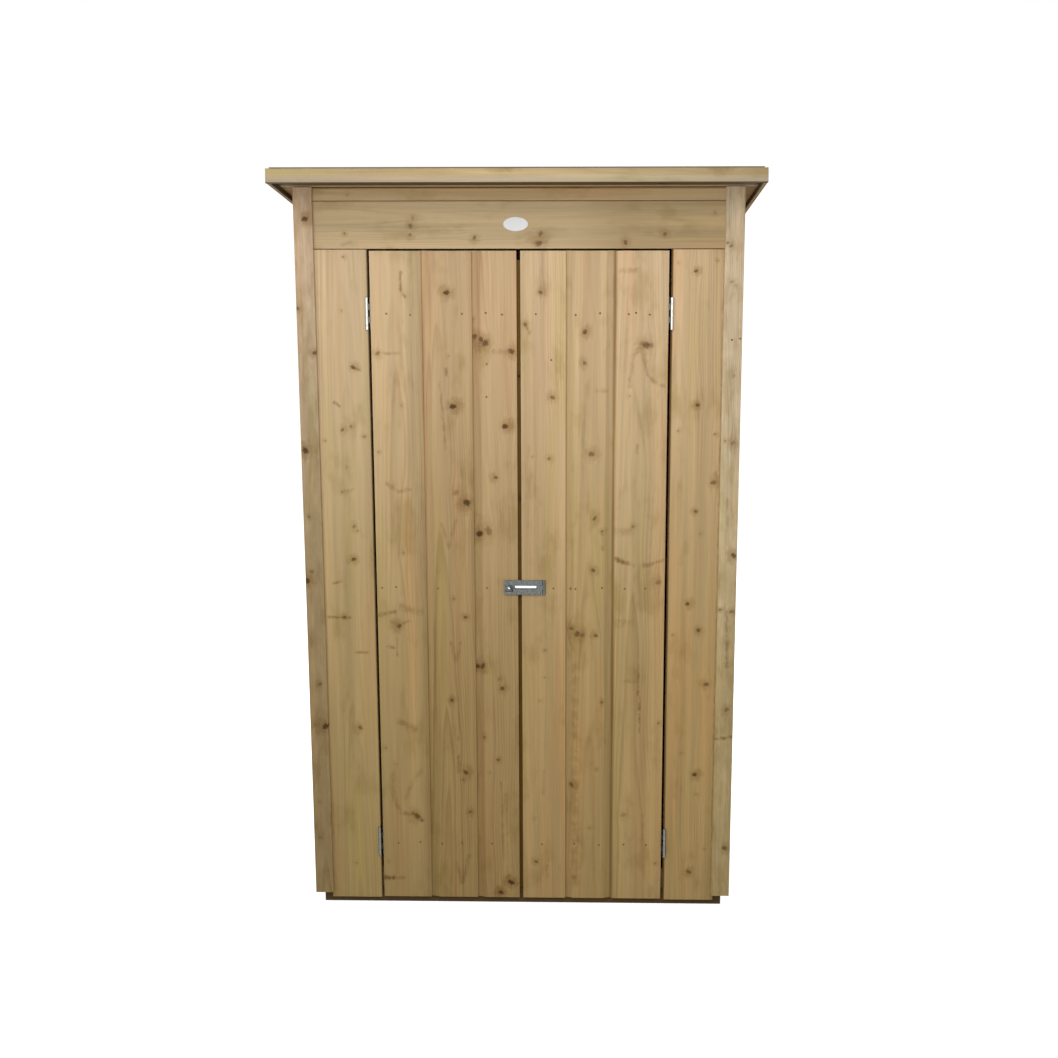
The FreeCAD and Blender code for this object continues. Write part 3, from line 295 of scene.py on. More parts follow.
def timber(name, along, seed, tone=1.0, pith=(0.01, 0.05, 0.012), ring=0.0042, knots=(),
           streaks=(), scattered=0.0, sawn=0.0, cover=None, turn=0.0, rails=None, figure=0.45,
           weathered=None, middle=None):
    """Dresses one timber. along is the axis that it runs on, seed picks its grain, pith is
    where its rings have their middle, and ring a year's growth. scattered is the share of
    places with a knot, cover the width of a board where one node holds several, and rails
    where a frame's rails start and end. recolour changes the colour from place to place,
    with real marks, painted shade or painted light."""
    finish, r = new_finish(name)
    spot = r.add("ShaderNodeTexCoord").outputs
    centred = r.vector("SUBTRACT", spot["Object"], middle or middle_of(name))
    facing = spot["Normal"]
    if turn:
        axis = "Y_AXIS" if along == "Z" else "X_AXIS"
        centred, facing = [r.add("ShaderNodeVectorRotate", {"Vector": way, "Angle": turn},
                                 rotation_type=axis).outputs[0] for way in (centred, facing)]
    x, y, z = r.split(centred)
    end = r.split(facing)["XYZ".index(along[0])]
    orders = {"Z": (x, z, y), "X": (z, x, y), "Y": (z, y, x), "ZY": (y, z, x), "XY": (y, x, z)}
    across, lengthwise, into = orders[along]
    board_seed = seed
    if cover:
        board = r.number("FLOOR", r.number("DIVIDE", across, cover))
        middle_of_board = r.times(r.number("ADD", board, 0.5), cover)
        across = r.number("SUBTRACT", across, middle_of_board)
        board_seed = r.scaled(board, 1.37, seed)
    place = r.join(across, lengthwise, into)
    end = r.ramp(r.number("ABSOLUTE", end), 0.6, 0.8)
    if rails:
        low, high = rails
        is_rail = r.times(r.number("GREATER_THAN", y, low), r.number("LESS_THAN", y, high))
        place = r.add("ShaderNodeMix", {0: is_rail, 4: r.join(y, z, x), 5: r.join(z, y, x)},
                      data_type="VECTOR").outputs[1]
        end = r.times(end, r.number("SUBTRACT", 1.0, is_rail))
        board_seed = r.scaled(r.number("FLOOR", r.times(y, 6.0)), 1.9, seed)
    grain = place
    core = halo = line = 0.0
    if scattered:
        spacing, smallest, range_of_sizes = (0.13, 0.42, 1.0), 0.0025, 0.008
        shift = r.join(r.times(board_seed, 3.7), r.times(board_seed, 5.3), 0.0)
        grid = r.vector("ADD", r.vector("DIVIDE", place, spacing), shift)
        cells = r.add("ShaderNodeTexVoronoi", {"Vector": grid, "Scale": 1.0},
                      voronoi_dimensions="2D").outputs
        at = r.vector("MULTIPLY", r.vector("SUBTRACT", cells["Position"], shift), spacing)
        at = r.vector("ADD", r.vector("MULTIPLY", at, (1.0, 1.0, 0.0)),
                      r.vector("MULTIPLY", place, (0.0, 0.0, 1.0)))
        chance, wide, _ = r.split(cells["Color"])
        grain, core, halo = r.add("ShaderNodeGroup", {
            "Place": grain, "Spot": at, "Size": r.scaled(wide, range_of_sizes, smallest),
            "Dark": r.number("LESS_THAN", chance, scattered), "Lean": 0.2, "Side": 0.6,
            "Squash": 0.9}, node_tree=knot).outputs
    draw = random.Random(seed)
    for across_at, along_at, size, strength in knots:
        grain, core, halo = r.add("ShaderNodeGroup", {
            "Place": grain, "Spot": (across_at / 1000, along_at / 1000, 0.0),
            "Size": size / 1000, "Dark": strength, "Lean": draw.uniform(-0.4, 0.4),
            "Side": draw.uniform(-1.3, 1.3), "Squash": draw.uniform(0.7, 1.15),
            "Core": core, "Halo": halo}, node_tree=knot).outputs
    for start_across, start_along, end_across, end_along, width, strength in streaks:
        line = r.add("ShaderNodeGroup", {
            "Place": place, "Start": (start_across / 1000, start_along / 1000, 0.0),
            "End": (end_across / 1000, end_along / 1000, 0.0), "Width": width / 1000,
            "Dark": strength, "Streak": line}, node_tree=streak).outputs[0]
    # Painted shade grows from the upper of these heights down to the lower one.
    full_shade_height, no_shade_height = 0.45, 1.65
    wood = r.add("ShaderNodeGroup", {
        "Place": grain, "Seed": board_seed, "Pith": pith, "Ring": ring,
        "Pale": shade(pale_wood, tone), "Dark": shade(dark_wood, tone), "Core": core,
        "Halo": halo, "Streak": line, "End": end, "Sawn": sawn, "Figure": figure,
        "Soaked": r.ramp(r.split(spot["Object"])[2], no_shade_height, full_shade_height)},
        node_tree=softwood).outputs
    colour = wood["Color"]
    if weathered:
        colour = weathered(r, spot["Object"], spot["Normal"], colour)
    r.coat({"Base Color": colour, "Roughness": wood["Roughness"], "Specular IOR Level": 0.3},
           wood["Height"], strength=0.55, distance=0.0006)
    dress(name, finish)


bearer_tone = (0.25, 0.22, 0.19)
for number, place in enumerate(("front", "middle", "rear")):
    timber("floor_bearer_" + place, "X", 11.3 + number, bearer_tone, scattered=0.3, sawn=0.8)
timber("floor_panel", "XY", 17.7, tone=0.93, pith=(0.2, 0.19, 0.05), ring=0.011, scattered=0.15)

# Side walls
# Each side is a frame of sawn softwood, two uprights and three rails, with four upright
# shiplap boards nailed on from outside. The boards are sawn off to the fall of the roof.

frame_tone = (1.0, 0.97, 0.9)


def frame_timber(node, along, seed, **more):
    """A sawn timber of the frame, with its knots scattered at random."""
    timber(node, along, seed, frame_tone, scattered=0.4, sawn=0.9, **more)


for side, seed in (("left", 23.1), ("right", 29.9)):
    frame_timber(side + "_side_frame", "ZY", seed, rails=(-0.204, 0.204))
    for number in range(1, 5):
        cut = number % 3
        timber(f"{side}_side_board_{number}", "ZY", seed + number * 2.3, tone=0.96 + 0.03 * cut,
               pith=(0.012 * (cut - 1), 0.045, 0.01), scattered=0.55)

# Back wall
# Nine upright shiplap boards are nailed on three rails between the side walls. Each board
# laps over the edge of the next.

frame_timber("back_frame", "X", 37.3)
back_low, back_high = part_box("back_boards")
board_cover = 0.119
first_edge = middle_of("back_boards")
first_edge.x = back_low.x
timber("back_boards", "Z", 41.9, tone=0.98, scattered=0.55, cover=board_cover, middle=first_edge)

# Front frame
# Sawn rails and posts behind the front boards frame the doorway: door posts, a rail behind
# the header, a rail under the roof, and the threshold that the doors shut against.

for number, node in enumerate(("door_post_left", "door_post_right")):
    frame_timber(node, "Z", 51.3 + number)
for number, node in enumerate(("header_rail", "top_rail", "threshold_rail")):
    frame_timber(node, "X", 57.1 + number)

# Front boards and corner posts
# A wide board is nailed upright at each side of the doors. The sawn corner posts cover the
# front boards' outer edges and the ends of the side walls. Knots follow the real boards.

door_gap = 0.3535
post_left_tone = (0.76, 0.765, 0.835)
post_right_tone = (1.083, 1.184, 1.357)


def front_board(node, seed, tone, pith, ring, knots, streaks, along="Z", **more):
    """A board of the front. Its knots are (across, up, size, darkness) in millimetres from
    the cabinet's middle and the ground, and its streaks run from one point to another. Small
    knots lie shallow in the wood, so they show less strongly than wide ones."""
    least, gain, most, fade = 0.35, 0.11, 1.15, 1.75
    middle = middle_of(node)
    left, up = middle.x * 1000, middle.z * 1000

    def own(x, z):
        return (x - left, z - up) if along == "Z" else (z - up, x - left)

    own_knots = [(*own(x, z), size, dark * min(least + gain * size, most))
                 for x, z, size, dark in knots]
    own_streaks = [(*own(x, z), *own(x2, z2), wide * fade, dark)
                   for x, z, x2, z2, wide, dark in streaks]
    timber(node, along, seed, tone, pith, ring, own_knots, own_streaks, **more)


# The colour of the painted shade beside joints and gaps.
joint_shade_tone = (0.42, 0.32, 0.2)


def shade_beside_joint(*lines):
    """Painted shade beside a joint or a gap, lying in a board's hollow where it has one, as a
    dark band along it. Each line is a joint, how far the band reaches, how much of that is
    its even middle, and how dark."""
    def weathered(r, place, facing, colour):
        across = r.split(place)[0]
        uneven = r.ramp(r.noise(place, (30.0, 30.0, 3.0), 2.0), 0.3, 0.7, 0.75, 1.2)
        for joint, wide, even, depth in lines:
            reach = r.number("ABSOLUTE", r.number("SUBTRACT", across, joint))
            darkening = r.times(r.times(r.ramp(reach, wide, even), depth), uneven)
            colour = r.stain(darkening, colour, joint_shade_tone)
        return colour
    return weathered


def mottled(r, place, facing, colour):
    """Sawn wood takes the dip unevenly, in greyer and browner blotches."""
    browner, greyer = (0.86, 0.82, 0.78), (1.12, 1.13, 1.2)
    blotch = r.noise(place, (45.0, 45.0, 14.0), 3.0, 0.6)
    colour = r.stain(r.ramp(blotch, 0.5, 0.68), colour, browner)
    return r.stain(r.ramp(blotch, 0.48, 0.33), colour, greyer)


def painted_light_top(r, place, facing, colour):
    """Painted light: the left post's upper end is made lighter, over the uneven dip."""
    colour = mottled(r, place, facing, colour)
    # Painted light, growing towards the top of the post.
    return r.stain(r.ramp(r.split(place)[2], 1.2, 1.78), colour, (1.22, 1.22, 1.22))


front_board(
    "corner_post_left", 61.7, post_left_tone, (0.03, 0.03, 0.006), 0.0036,
    [(-518, 1513, 4, 1), (-481, 1408, 5, 1), (-510, 1175, 7, 1), (-507, 1012, 3, 0.7),
     (-517, 853, 6.5, 1), (-507, 876, 5, 0.6), (-494, 590, 3.5, 0.9), (-483, 480, 7.5, 1),
     (-504, 485, 3, 0.4), (-505, 185, 3.5, 0.5), (-502, 280, 3, 0.5), (-493, 1720, 7, 1)],
    [], sawn=0.5, weathered=painted_light_top)
front_board(
    "corner_post_right", 67.1, post_right_tone, (-0.02, 0.026, 0.009), 0.0034,
    [(493, 1575, 4, 0.5), (501, 1567, 3, 0.4), (503, 1355, 3, 0.4), (504, 1195, 4.5, 0.6),
     (486, 1200, 3, 0.7), (512, 920, 5.5, 0.9), (482, 785, 4, 0.8), (510, 780, 5.5, 0.6),
     (504, 530, 5, 0.6), (506, 165, 6, 0.8), (489, 1658, 4, 0.8), (484, 1664, 4, 0.7)],
    [(478, 453, 516, 458, 3.5, 0.9), (500, 710, 500, 640, 4, 0.6), (497, 780, 500, 700, 3, 0.5),
     (494, 1060, 496, 980, 3, 0.35)], sawn=0.5, figure=0.7, weathered=mottled)
front_board(
    "fixed_board_left", 71.3, (1.025, 1.037, 1.046), (0.03, 0.06, 0.013), 0.0046,
    [(-409, 1631, 3, 0.8), (-416, 1506, 2.5, 0.4), (-393, 1372, 5, 0.9), (-422, 1222, 3.5, 0.8),
     (-401, 1230, 3, 0.7), (-370, 1206, 3, 0.8), (-464, 1195, 2.5, 0.6), (-414, 1131, 2.5, 0.4),
     (-427, 1070, 3, 0.6), (-400, 985, 3.5, 0.7), (-394, 974, 3, 0.6), (-404, 903, 5, 1),
     (-430, 757, 4, 0.9), (-399, 471, 5, 0.8), (-418, 110, 3, 0.4)],
    [(-393, 1372, -376, 1365, 3, 0.6), (-440, 1287, -428, 1279, 3, 0.6),
     (-427, 1070, -400, 1076, 3, 0.3), (-456, 842, -435, 848, 3, 0.6),
     (-470, 757, -416, 756, 3, 0.6), (-405, 667, -376, 667, 3, 0.55)],
    # Painted shade along the board's edge by the door gap.
    weathered=shade_beside_joint((-door_gap, 0.004, 0.001, 0.5)))
front_board(
    "fixed_board_right", 73.9, (1.061, 1.04, 1.016), (-0.02, 0.055, 0.011), 0.0044,
    [(411, 1598, 4.5, 1), (420, 1283, 5, 1), (461, 1622, 2.5, 0.7), (369, 1617, 2.5, 0.4),
     (375, 1221, 3, 0.6), (462, 1213, 3, 0.7), (462, 1096, 7, 0.6), (420, 1025, 3.5, 1),
     (432, 970, 3, 0.3), (404, 795, 4.5, 1), (432, 728, 4.5, 0.9), (369, 716, 3, 0.5),
     (454, 590, 6, 0.7), (396, 410, 3, 0.3), (430, 354, 5.5, 1), (435, 302, 4, 0.3),
     (419, 93, 5, 0.8), (458, 155, 3, 0.3)],
    # The second streak is painted shade along the corner post, which stands proud of the board.
    [(464, 1120, 464, 1100, 4, 0.4), (475, 0, 475, 1660, 2, 0.4)],
    # Painted shade along the board's edge by the door gap, making the gap look wider.
    weathered=shade_beside_joint((door_gap, 0.006, 0.0035, 1.0), (door_gap, 0.005, 0.003, 0.7)))

# Header
# A wide board and a narrow strip above it close the front over the doors, nailed on the
# two rails behind them. A fine open joint shows between the two.


def darker_right_end(r, place, facing, colour):
    """The header is a little darker towards its right-hand end."""
    return r.stain(r.ramp(r.split(place)[0], 0.1, 0.26), colour, (0.853, 0.824, 0.769))


front_board(
    "header_board", 79.3, (0.918, 0.934, 0.892), (0.045, 0.05, 0.008), 0.0042,
    [(-404, 1685, 3, 0.8), (-245, 1720, 4, 0.5), (-250, 1703, 5, 0.7), (-252, 1683, 4, 0.7),
     (-103, 1675, 4.5, 0.8), (51, 1684, 5, 0.7), (46, 1663, 7, 0.6), (247, 1664, 5, 0.8),
     (337, 1683, 4, 0.8), (452, 1732, 3, 0.5)],
    [(-390, 1664, -410, 1659, 4, 0.3), (60, 1664, 38, 1664, 5, 0.3)], along="X",
    weathered=darker_right_end)


def shade_under_roof(r, place, facing, colour):
    """Painted shade: the strip's upper edge is darker, where it meets the underside of the roof.
    """
    # Painted shade along the top edge.
    return r.stain(r.ramp(r.split(place)[2], 1.785, 1.7875), colour, (0.68, 0.58, 0.46))


front_board("header_strip", 83.9, (0.94, 0.942, 0.847), (0.03, 0.04, 0.01), 0.0034,
            [(-395, 1774, 3, 0.4)], [], along="X", weathered=shade_under_roof)

# Roof
# Six tongued and grooved boards lie on the walls and two rafters and fall to the back.
# Mineral felt is nailed on them, and planed fascias and barge boards cover their edges.

roof_fall = 0.2
fall = math.atan(roof_fall)
roof_foot = Vector((0, -0.238, 1.791))
down_slope = Vector((0, math.cos(fall), -math.sin(fall)))
off_slope = Vector((0, math.sin(fall), math.cos(fall)))
# The colour of painted shade under the roof.
painted_shade_tone = (0.15, 0.12, 0.085)


def underneath(r, facing):
    """1 where a face of the roof looks down."""
    return r.ramp(r.vector("DOT_PRODUCT", facing, off_slope), -0.5, -0.8)


def soffit_shading(r, place, facing, colour):
    """The overhang's underside, with painted shade behind the fascia, painted light from the
    wall's bounce further back, and a painted shadow line near the wall.
    """
    back = r.split(place)[1]
    below = underneath(r, facing)
    # Painted shade right behind the fascia, painted light further back, and a painted shadow line
    # where the soffit meets the wall.
    bounce_light_tone, gap_shade_tone = (1.4, 1.42, 1.4), (0.6, 0.5, 0.38)
    for start, end, tone in ((-0.263, -0.271, painted_shade_tone), (-0.268, -0.262, bounce_light_tone),
                             (-0.250, -0.244, gap_shade_tone)):
        colour = r.stain(r.times(r.ramp(back, start, end), below), colour, tone)
    return colour


def fascia_wash_and_shade(r, place, facing, colour):
    """The fascia's lower part is washed paler, and its underside is darkened with painted shade.
    """
    height = r.vector("DOT_PRODUCT", r.vector("SUBTRACT", place, roof_foot), off_slope)
    colour = r.stain(r.ramp(height, 0.005, 0.001), colour, (0.97, 1.02, 1.27))
    # Painted shade on the underside.
    return r.stain(underneath(r, facing), colour, painted_shade_tone)


def barge_inner_shade(r, place, facing, colour):
    """Painted shade on the side of a barge board that faces the cabinet, under the roof."""
    inwards = r.times(r.split(facing)[0], r.split(place)[0])
    # Painted shade on the inner face.
    return r.stain(r.ramp(inwards, -0.2, -0.4), colour, (0.16, 0.13, 0.1))


frame_timber("roof_rafters", "Y", 89.3, turn=fall)
timber("roof_boards", "XY", 97.1, (0.86, 0.9, 0.93), scattered=0.5, cover=0.113, turn=fall,
       weathered=soffit_shading)
for number, place in enumerate(("front", "rear")):
    timber(place + "_fascia", "X", 101.3 + number, (0.69, 0.71, 0.64), pith=(0.03, 0.05, 0.006),
           turn=fall, scattered=0.25, weathered=fascia_wash_and_shade)
for number, side in enumerate(("left", "right")):
    timber("barge_board_" + side, "Y", 103.7 + number, (0.7, 0.71, 0.72), turn=fall,
           scattered=0.3, weathered=barge_inner_shade)


def mineral_felt():
    """Bitumen felt faced with fine crushed slate, greenish grey, with dark bitumen between.
    Its cut edges show the brown base cloth."""
    finish, r = new_finish("roof_felt")
    spot = r.add("ShaderNodeTexCoord").outputs
    place = spot["Object"]
    bitumen, slate, base_cloth = (0.055, 0.06, 0.056), (0.15, 0.16, 0.145), (0.13, 0.1, 0.075)
    grains = r.add("ShaderNodeTexVoronoi", {"Vector": place, "Scale": 620.0}).outputs
    worn = r.noise(place, (7.0, 7.0, 7.0), 4.0)
    colour = r.blend(r.split(grains["Color"])[0], bitumen, slate)
    colour = r.stain(r.ramp(worn, 0.4, 0.75), colour, (0.75, 0.78, 0.74))
    on_top = r.vector("DOT_PRODUCT", spot["Normal"], off_slope)
    colour = r.blend(r.ramp(on_top, 0.7, 0.4), colour, base_cloth)
    r.coat({"Base Color": colour, "Roughness": r.scaled(worn, 0.12, 0.84)}, grains["Distance"],
           strength=0.7, distance=0.0012, invert=True)
    return finish


dress("roof_felt", mineral_felt())

# Doors
# Each door is three shiplap boards nailed on three ledges, with two braces that rise from
# the hinge side. A strip on the left door covers the gap between the two from behind.

left_outer_joint, left_inner_joint = -0.2295, -0.1115
right_outer_joint, right_inner_joint = 0.2235, 0.107
front_board(
    "left_door_board_1", 107.3, (0.965, 0.96, 0.947), (0.02, 0.05, 0.012), 0.0045,
    [(-334, 1405, 5.5, 0.6), (-337, 1168, 2.5, 0.7), (-280, 1281, 3, 0.3), (-283, 920, 4, 0.4),
     (-297, 735, 6, 0.8), (-337, 418, 3, 0.6), (-262, 238, 6, 0.7), (-335, 115, 3, 0.3),
     (-305, 1085, 3, 0.3)],
    [(-276, 1596, -276, 1553, 3, 0.7), (-276, 1553, -267, 1540, 3, 0.7),
     (-319, 1405, -284, 1405, 3, 0.5), (-320, 1090, -290, 1071, 4, 0.45),
     (-290, 1071, -265, 1078, 4, 0.4), (-346, 764, -305, 770, 5, 0.9),
     (-290, 782, -245, 772, 8, 0.4), (-315, 746, -297, 737, 4, 0.4),
     (-297, 737, -275, 748, 4, 0.4), (-325, 682, -303, 678, 3, 0.7),
     (-302, 705, -303, 660, 2.5, 0.5), (-299, 487, -265, 469, 7, 0.45),
     (-313, 375, -322, 320, 5, 0.3), (-322, 320, -318, 280, 5, 0.35),
     (-318, 280, -300, 246, 5, 0.4), (-300, 246, -285, 243, 5, 0.45),
     (-250, 358, -272, 330, 6, 0.3), (-272, 330, -290, 285, 6, 0.3),
     (-272, 244, -250, 226, 5, 0.8), (-350, 70, -324, 70, 5, 0.95),
     (-324, 70, -300, 70, 4, 0.4)],
    weathered=shade_beside_joint((left_outer_joint, 0.02, 0.0, 0.32)))
front_board(
    "left_door_board_2", 109.9, (0.914, 0.874, 0.827), (0.012, 0.042, 0.015), 0.0044,
    [(-169, 1548, 6, 1), (-158, 1279, 7, 1), (-166, 1399, 2.5, 0.4), (-128, 1045, 7, 1),
     (-152, 1070, 7, 0.35), (-162, 805, 3, 0.6), (-134, 758, 4.5, 0.9), (-170, 545, 4.5, 0.9),
     (-155, 445, 3, 0.4), (-139, 356, 5, 1), (-143, 336, 3, 0.7), (-129, 250, 4, 0.8)],
    [(-173, 1369, -173, 1353, 3, 0.6), (-189, 1338, -176, 1176, 2.5, 0.4),
     (-190, 992, -171, 936, 4, 0.3), (-156, 1000, -171, 936, 4, 0.3),
     (-170, 692, -158, 642, 4, 0.35), (-149, 692, -158, 642, 4, 0.35),
     (-155, 398, -158, 355, 4, 0.5), (-163, 112, -152, 58, 4, 0.35),
     (-133, 132, -151, 58, 4, 0.4)],
    figure=0.72, weathered=shade_beside_joint((left_outer_joint, 0.011, 0.0, 0.28),
                                       (left_inner_joint, 0.014, 0.002, 0.22)))
front_board(
    "left_door_board_3", 113.3, (0.92, 0.888, 0.856), (-0.015, 0.048, 0.012), 0.0046,
    [(-107, 1487, 3, 0.4), (-105, 1444, 5, 0.9), (-92, 1438, 6, 0.9), (-84, 1430, 8, 0.8),
     (-18, 1410, 7, 0.8), (-35, 1231, 6.5, 1), (-58, 1107, 4, 1), (-98, 968, 7, 1),
     (-80, 975, 9, 0.5), (-110, 950, 4, 0.9), (-107, 632, 6, 1), (-97, 633, 6, 0.9),
     (-46, 576, 4.5, 1), (-52, 600, 4, 0.4), (-91, 448, 3.5, 0.7), (-57, 389, 4, 0.8),
     (-27, 60, 7, 1), (-52, 33, 6.5, 1), (-78, 355, 3, 0.3)],
    [(-60, 1410, -25, 1410, 5, 0.4), (-36, 76, -30, 66, 5, 0.5),
     (-50, 330, -46, 120, 2.5, 0.35), (-38, 300, -36, 60, 2, 0.3)],
    figure=0.6, weathered=shade_beside_joint((left_inner_joint, 0.0245, 0.016, 0.26)))
front_board(
    "right_door_board_1", 127.1, (1.087, 1.048, 1.056), (-0.03, 0.06, 0.01), 0.0048,
    [(50, 1549, 4, 0.9), (14, 1474, 3.5, 0.7), (78, 1301, 5, 0.8), (69, 1153, 4, 0.7),
     (30, 1158, 2.5, 0.4), (60, 675, 3, 0.6), (58, 605, 3, 0.35), (36, 117, 4, 0.9),
     (45, 545, 3, 0.3), (35, 235, 3, 0.3)],
    [(14, 1474, 24, 1455, 4, 0.5), (64, 105, 64, 72, 3, 0.4), (55, 360, 55, 300, 3, 0.3)])
front_board(
    "right_door_board_2", 131.9, (0.959, 0.939, 0.91), (0.025, 0.052, 0.013), 0.0045,
    [(154, 1456, 5, 1), (153, 1383, 4, 0.8), (171, 1164, 7, 0.6), (178, 1007, 4.5, 0.8),
     (197, 975, 4, 0.7), (176, 878, 4.5, 0.9), (123, 730, 5, 0.7), (135, 717, 7, 0.7),
     (145, 714, 6, 0.6), (183, 713, 4.5, 0.9), (198, 542, 3, 0.9), (124, 324, 4.5, 0.9),
     (187, 366, 3, 0.5), (169, 210, 3.5, 0.5), (130, 75, 4, 0.4), (175, 380, 2.5, 0.3)],
    [(198, 970, 199, 930, 4, 0.4), (185, 1317, 207, 1317, 5, 0.3),
     (132, 640, 134, 60, 9, 0.36)],
    weathered=shade_beside_joint((right_outer_joint, 0.007, 0.0, 0.62),
                          (right_inner_joint, 0.0235, 0.012, 0.2)))
front_board(
    "right_door_board_3", 137.3, (1.078, 1.08, 1.096), (0.01, 0.05, 0.014), 0.0047,
    [(298, 1425, 8, 0.6), (260, 1304, 3, 0.4), (271, 987, 3.5, 0.6), (338, 488, 3, 0.7),
     (333, 848, 6, 0.45), (335, 115, 3, 0.7), (255, 245, 6, 0.3)],
    [(236, 1600, 279, 1600, 5, 0.4), (289, 1427, 307, 1423, 7, 0.7),
     (288, 1424, 266, 1396, 4, 0.5), (266, 1396, 259, 1328, 4, 0.4),
     (291, 1413, 300, 1356, 4, 0.45), (300, 1356, 318, 1338, 4, 0.45),
     (318, 1338, 339, 1328, 4, 0.4), (279, 1185, 279, 1167, 3, 0.4),
     (230, 975, 262, 974, 9, 0.3), (232, 906, 246, 898, 5, 0.9), (246, 898, 272, 893, 4, 0.6),
     (298, 890, 315, 892, 5, 0.5), (315, 892, 331, 900, 4, 0.55), (331, 900, 346, 905, 4, 0.5),
     (235, 745, 265, 745, 8, 0.35), (288, 640, 288, 560, 2.5, 0.6), (290, 560, 292, 465, 2.5, 0.7),
     (302, 245, 302, 180, 2.5, 0.3), (255, 598, 285, 596, 5, 0.25)],
    figure=0.55, weathered=shade_beside_joint((right_outer_joint, 0.008, 0.0, 0.85)))
brace_run, brace_rise = 0.225, 0.5875
for number, side in enumerate(("left", "right")):
    for step, place in enumerate(("top", "middle", "bottom")):
        frame_timber(f"{side}_door_ledge_{place}", "X", 149.3 + number * 7 + step * 2)
    lean = math.atan2(brace_run, brace_rise) * (1 if side == "left" else -1)
    frame_timber(side + "_door_braces", "Z", 161.7 + number, turn=lean)


def shade_in_gap(r, place, facing, colour):
    """Painted shade: where the strip shows between the doors, it is made dark brown."""
    gap_middle, gap_shade_brown = -0.0014, (0.31, 0.24, 0.075)
    from_gap = r.number("ABSOLUTE", r.number("ADD", r.split(place)[0], -gap_middle))
    in_front = r.ramp(r.split(facing)[1], -0.5, -0.8)
    # Painted shade on the strip's front face within the gap.
    return r.stain(r.times(r.ramp(from_gap, 0.0065, 0.005), in_front), colour, gap_shade_brown)


timber("meeting_strip", "Z", 167.9, (0.9, 0.86, 0.8), scattered=0.4, weathered=shade_in_gap)

# Hinges, hasp and staple
# Pressed steel, bright zinc plated. Four butt hinges sit in the gaps beside the doors. The
# hasp's strap folds over the turning eye of the staple. All are screwed on.


def zinc(name, bright, dull, rough, worn=None):
    """Zinc plating: a mottled, slightly clouded surface with fine marks from the rolling. It has
    painted shade in the gaps beside the doors and is darker near the ground. worn is how far
    forward a part has to stand for a painted highlight along the top of its rib, and that
    highlight's colour."""
    finish, r = new_finish(name)
    place = r.add("ShaderNodeTexCoord").outputs["Object"]
    cloud = r.noise(place, (160.0, 160.0, 160.0), 4.0, 0.6)
    marks = r.noise(place, (2600.0, 260.0, 240.0), 2.0)
    colour = r.blend(r.ramp(cloud, 0.3, 0.7), dull, bright)
    from_middle = r.number("ABSOLUTE", r.split(place)[0])
    hinge_side, gap_shade, ground_dull = 0.3, (0.08, 0.07, 0.058), (0.29, 0.29, 0.285)
    in_gap = r.times(r.number("GREATER_THAN", from_middle, hinge_side),
                     r.number("LESS_THAN", from_middle, door_gap))
    # Painted shade on the parts in the gaps beside the doors.
    colour = r.blend(in_gap, colour, gap_shade)
    colour = r.stain(r.ramp(r.split(place)[2], 0.7, 0.4), colour, ground_dull)
    # Painted highlight along the top of the hasp's rib, where it stands forward.
    if worn:
        forward, rib_highlight_colour = worn
        rib_end, rib_low, rib_top = 0.045, 0.8345, 0.836
        x, y, z = r.split(place)
        on_rib = r.times(r.number("LESS_THAN", y, forward), r.number("LESS_THAN", x, rib_end))
        colour = r.blend(r.times(on_rib, r.ramp(z, rib_low, rib_top)), colour, rib_highlight_colour)
    gloss = r.scaled(marks, 0.1, r.scaled(cloud, 0.16, rough - 0.08))
    r.coat({"Base Color": colour, "Roughness": gloss, "Metallic": 1.0}, marks,
           strength=0.2, distance=0.0002)
    return finish


bright_zinc = zinc("bright_zinc", (0.66, 0.67, 0.66), (0.5, 0.51, 0.5), rough=0.3)
# The hasp's dull zinc carries a painted highlight along the top of its rib.
dull_zinc = zinc("dull_zinc", (0.17, 0.18, 0.175), (0.095, 0.105, 0.105), rough=0.45,
                 worn=(-0.2432, (0.95, 0.95, 0.92)))
for node in ("frame_hinge_leaves", "hinge_pins", "left_door_hinge_leaves",
             "right_door_hinge_leaves"):
    dress(node, bright_zinc)
for node in ("hasp_hinge_plate", "hasp_pin", "hasp_strap", "staple_plate", "staple_eye"):
    dress(node, dull_zinc)

# Nails and screws
# Round wire nails hold the boards to the rails and ledges, and broad clout nails the felt.
# Countersunk screws fill the hinge leaves, and low pan heads the two plates of the hasp.


def fastening_tree(name, sizes):
    """Starts a tree for one kind of head, with its sizes as named inputs."""
    tree = bpy.data.node_groups.new(name, "GeometryNodeTree")
    for way in ("INPUT", "OUTPUT"):
        tree.interface.new_socket(name="Geometry", in_out=way, socket_type="NodeSocketGeometry")
    for size, value in sizes.items():
        socket = tree.interface.new_socket(name=size, in_out="INPUT",
                                           socket_type="NodeSocketFloat")
        socket.default_value = value
    r = Recipe(tree)
    return tree, r, r.add("NodeGroupInput").outputs


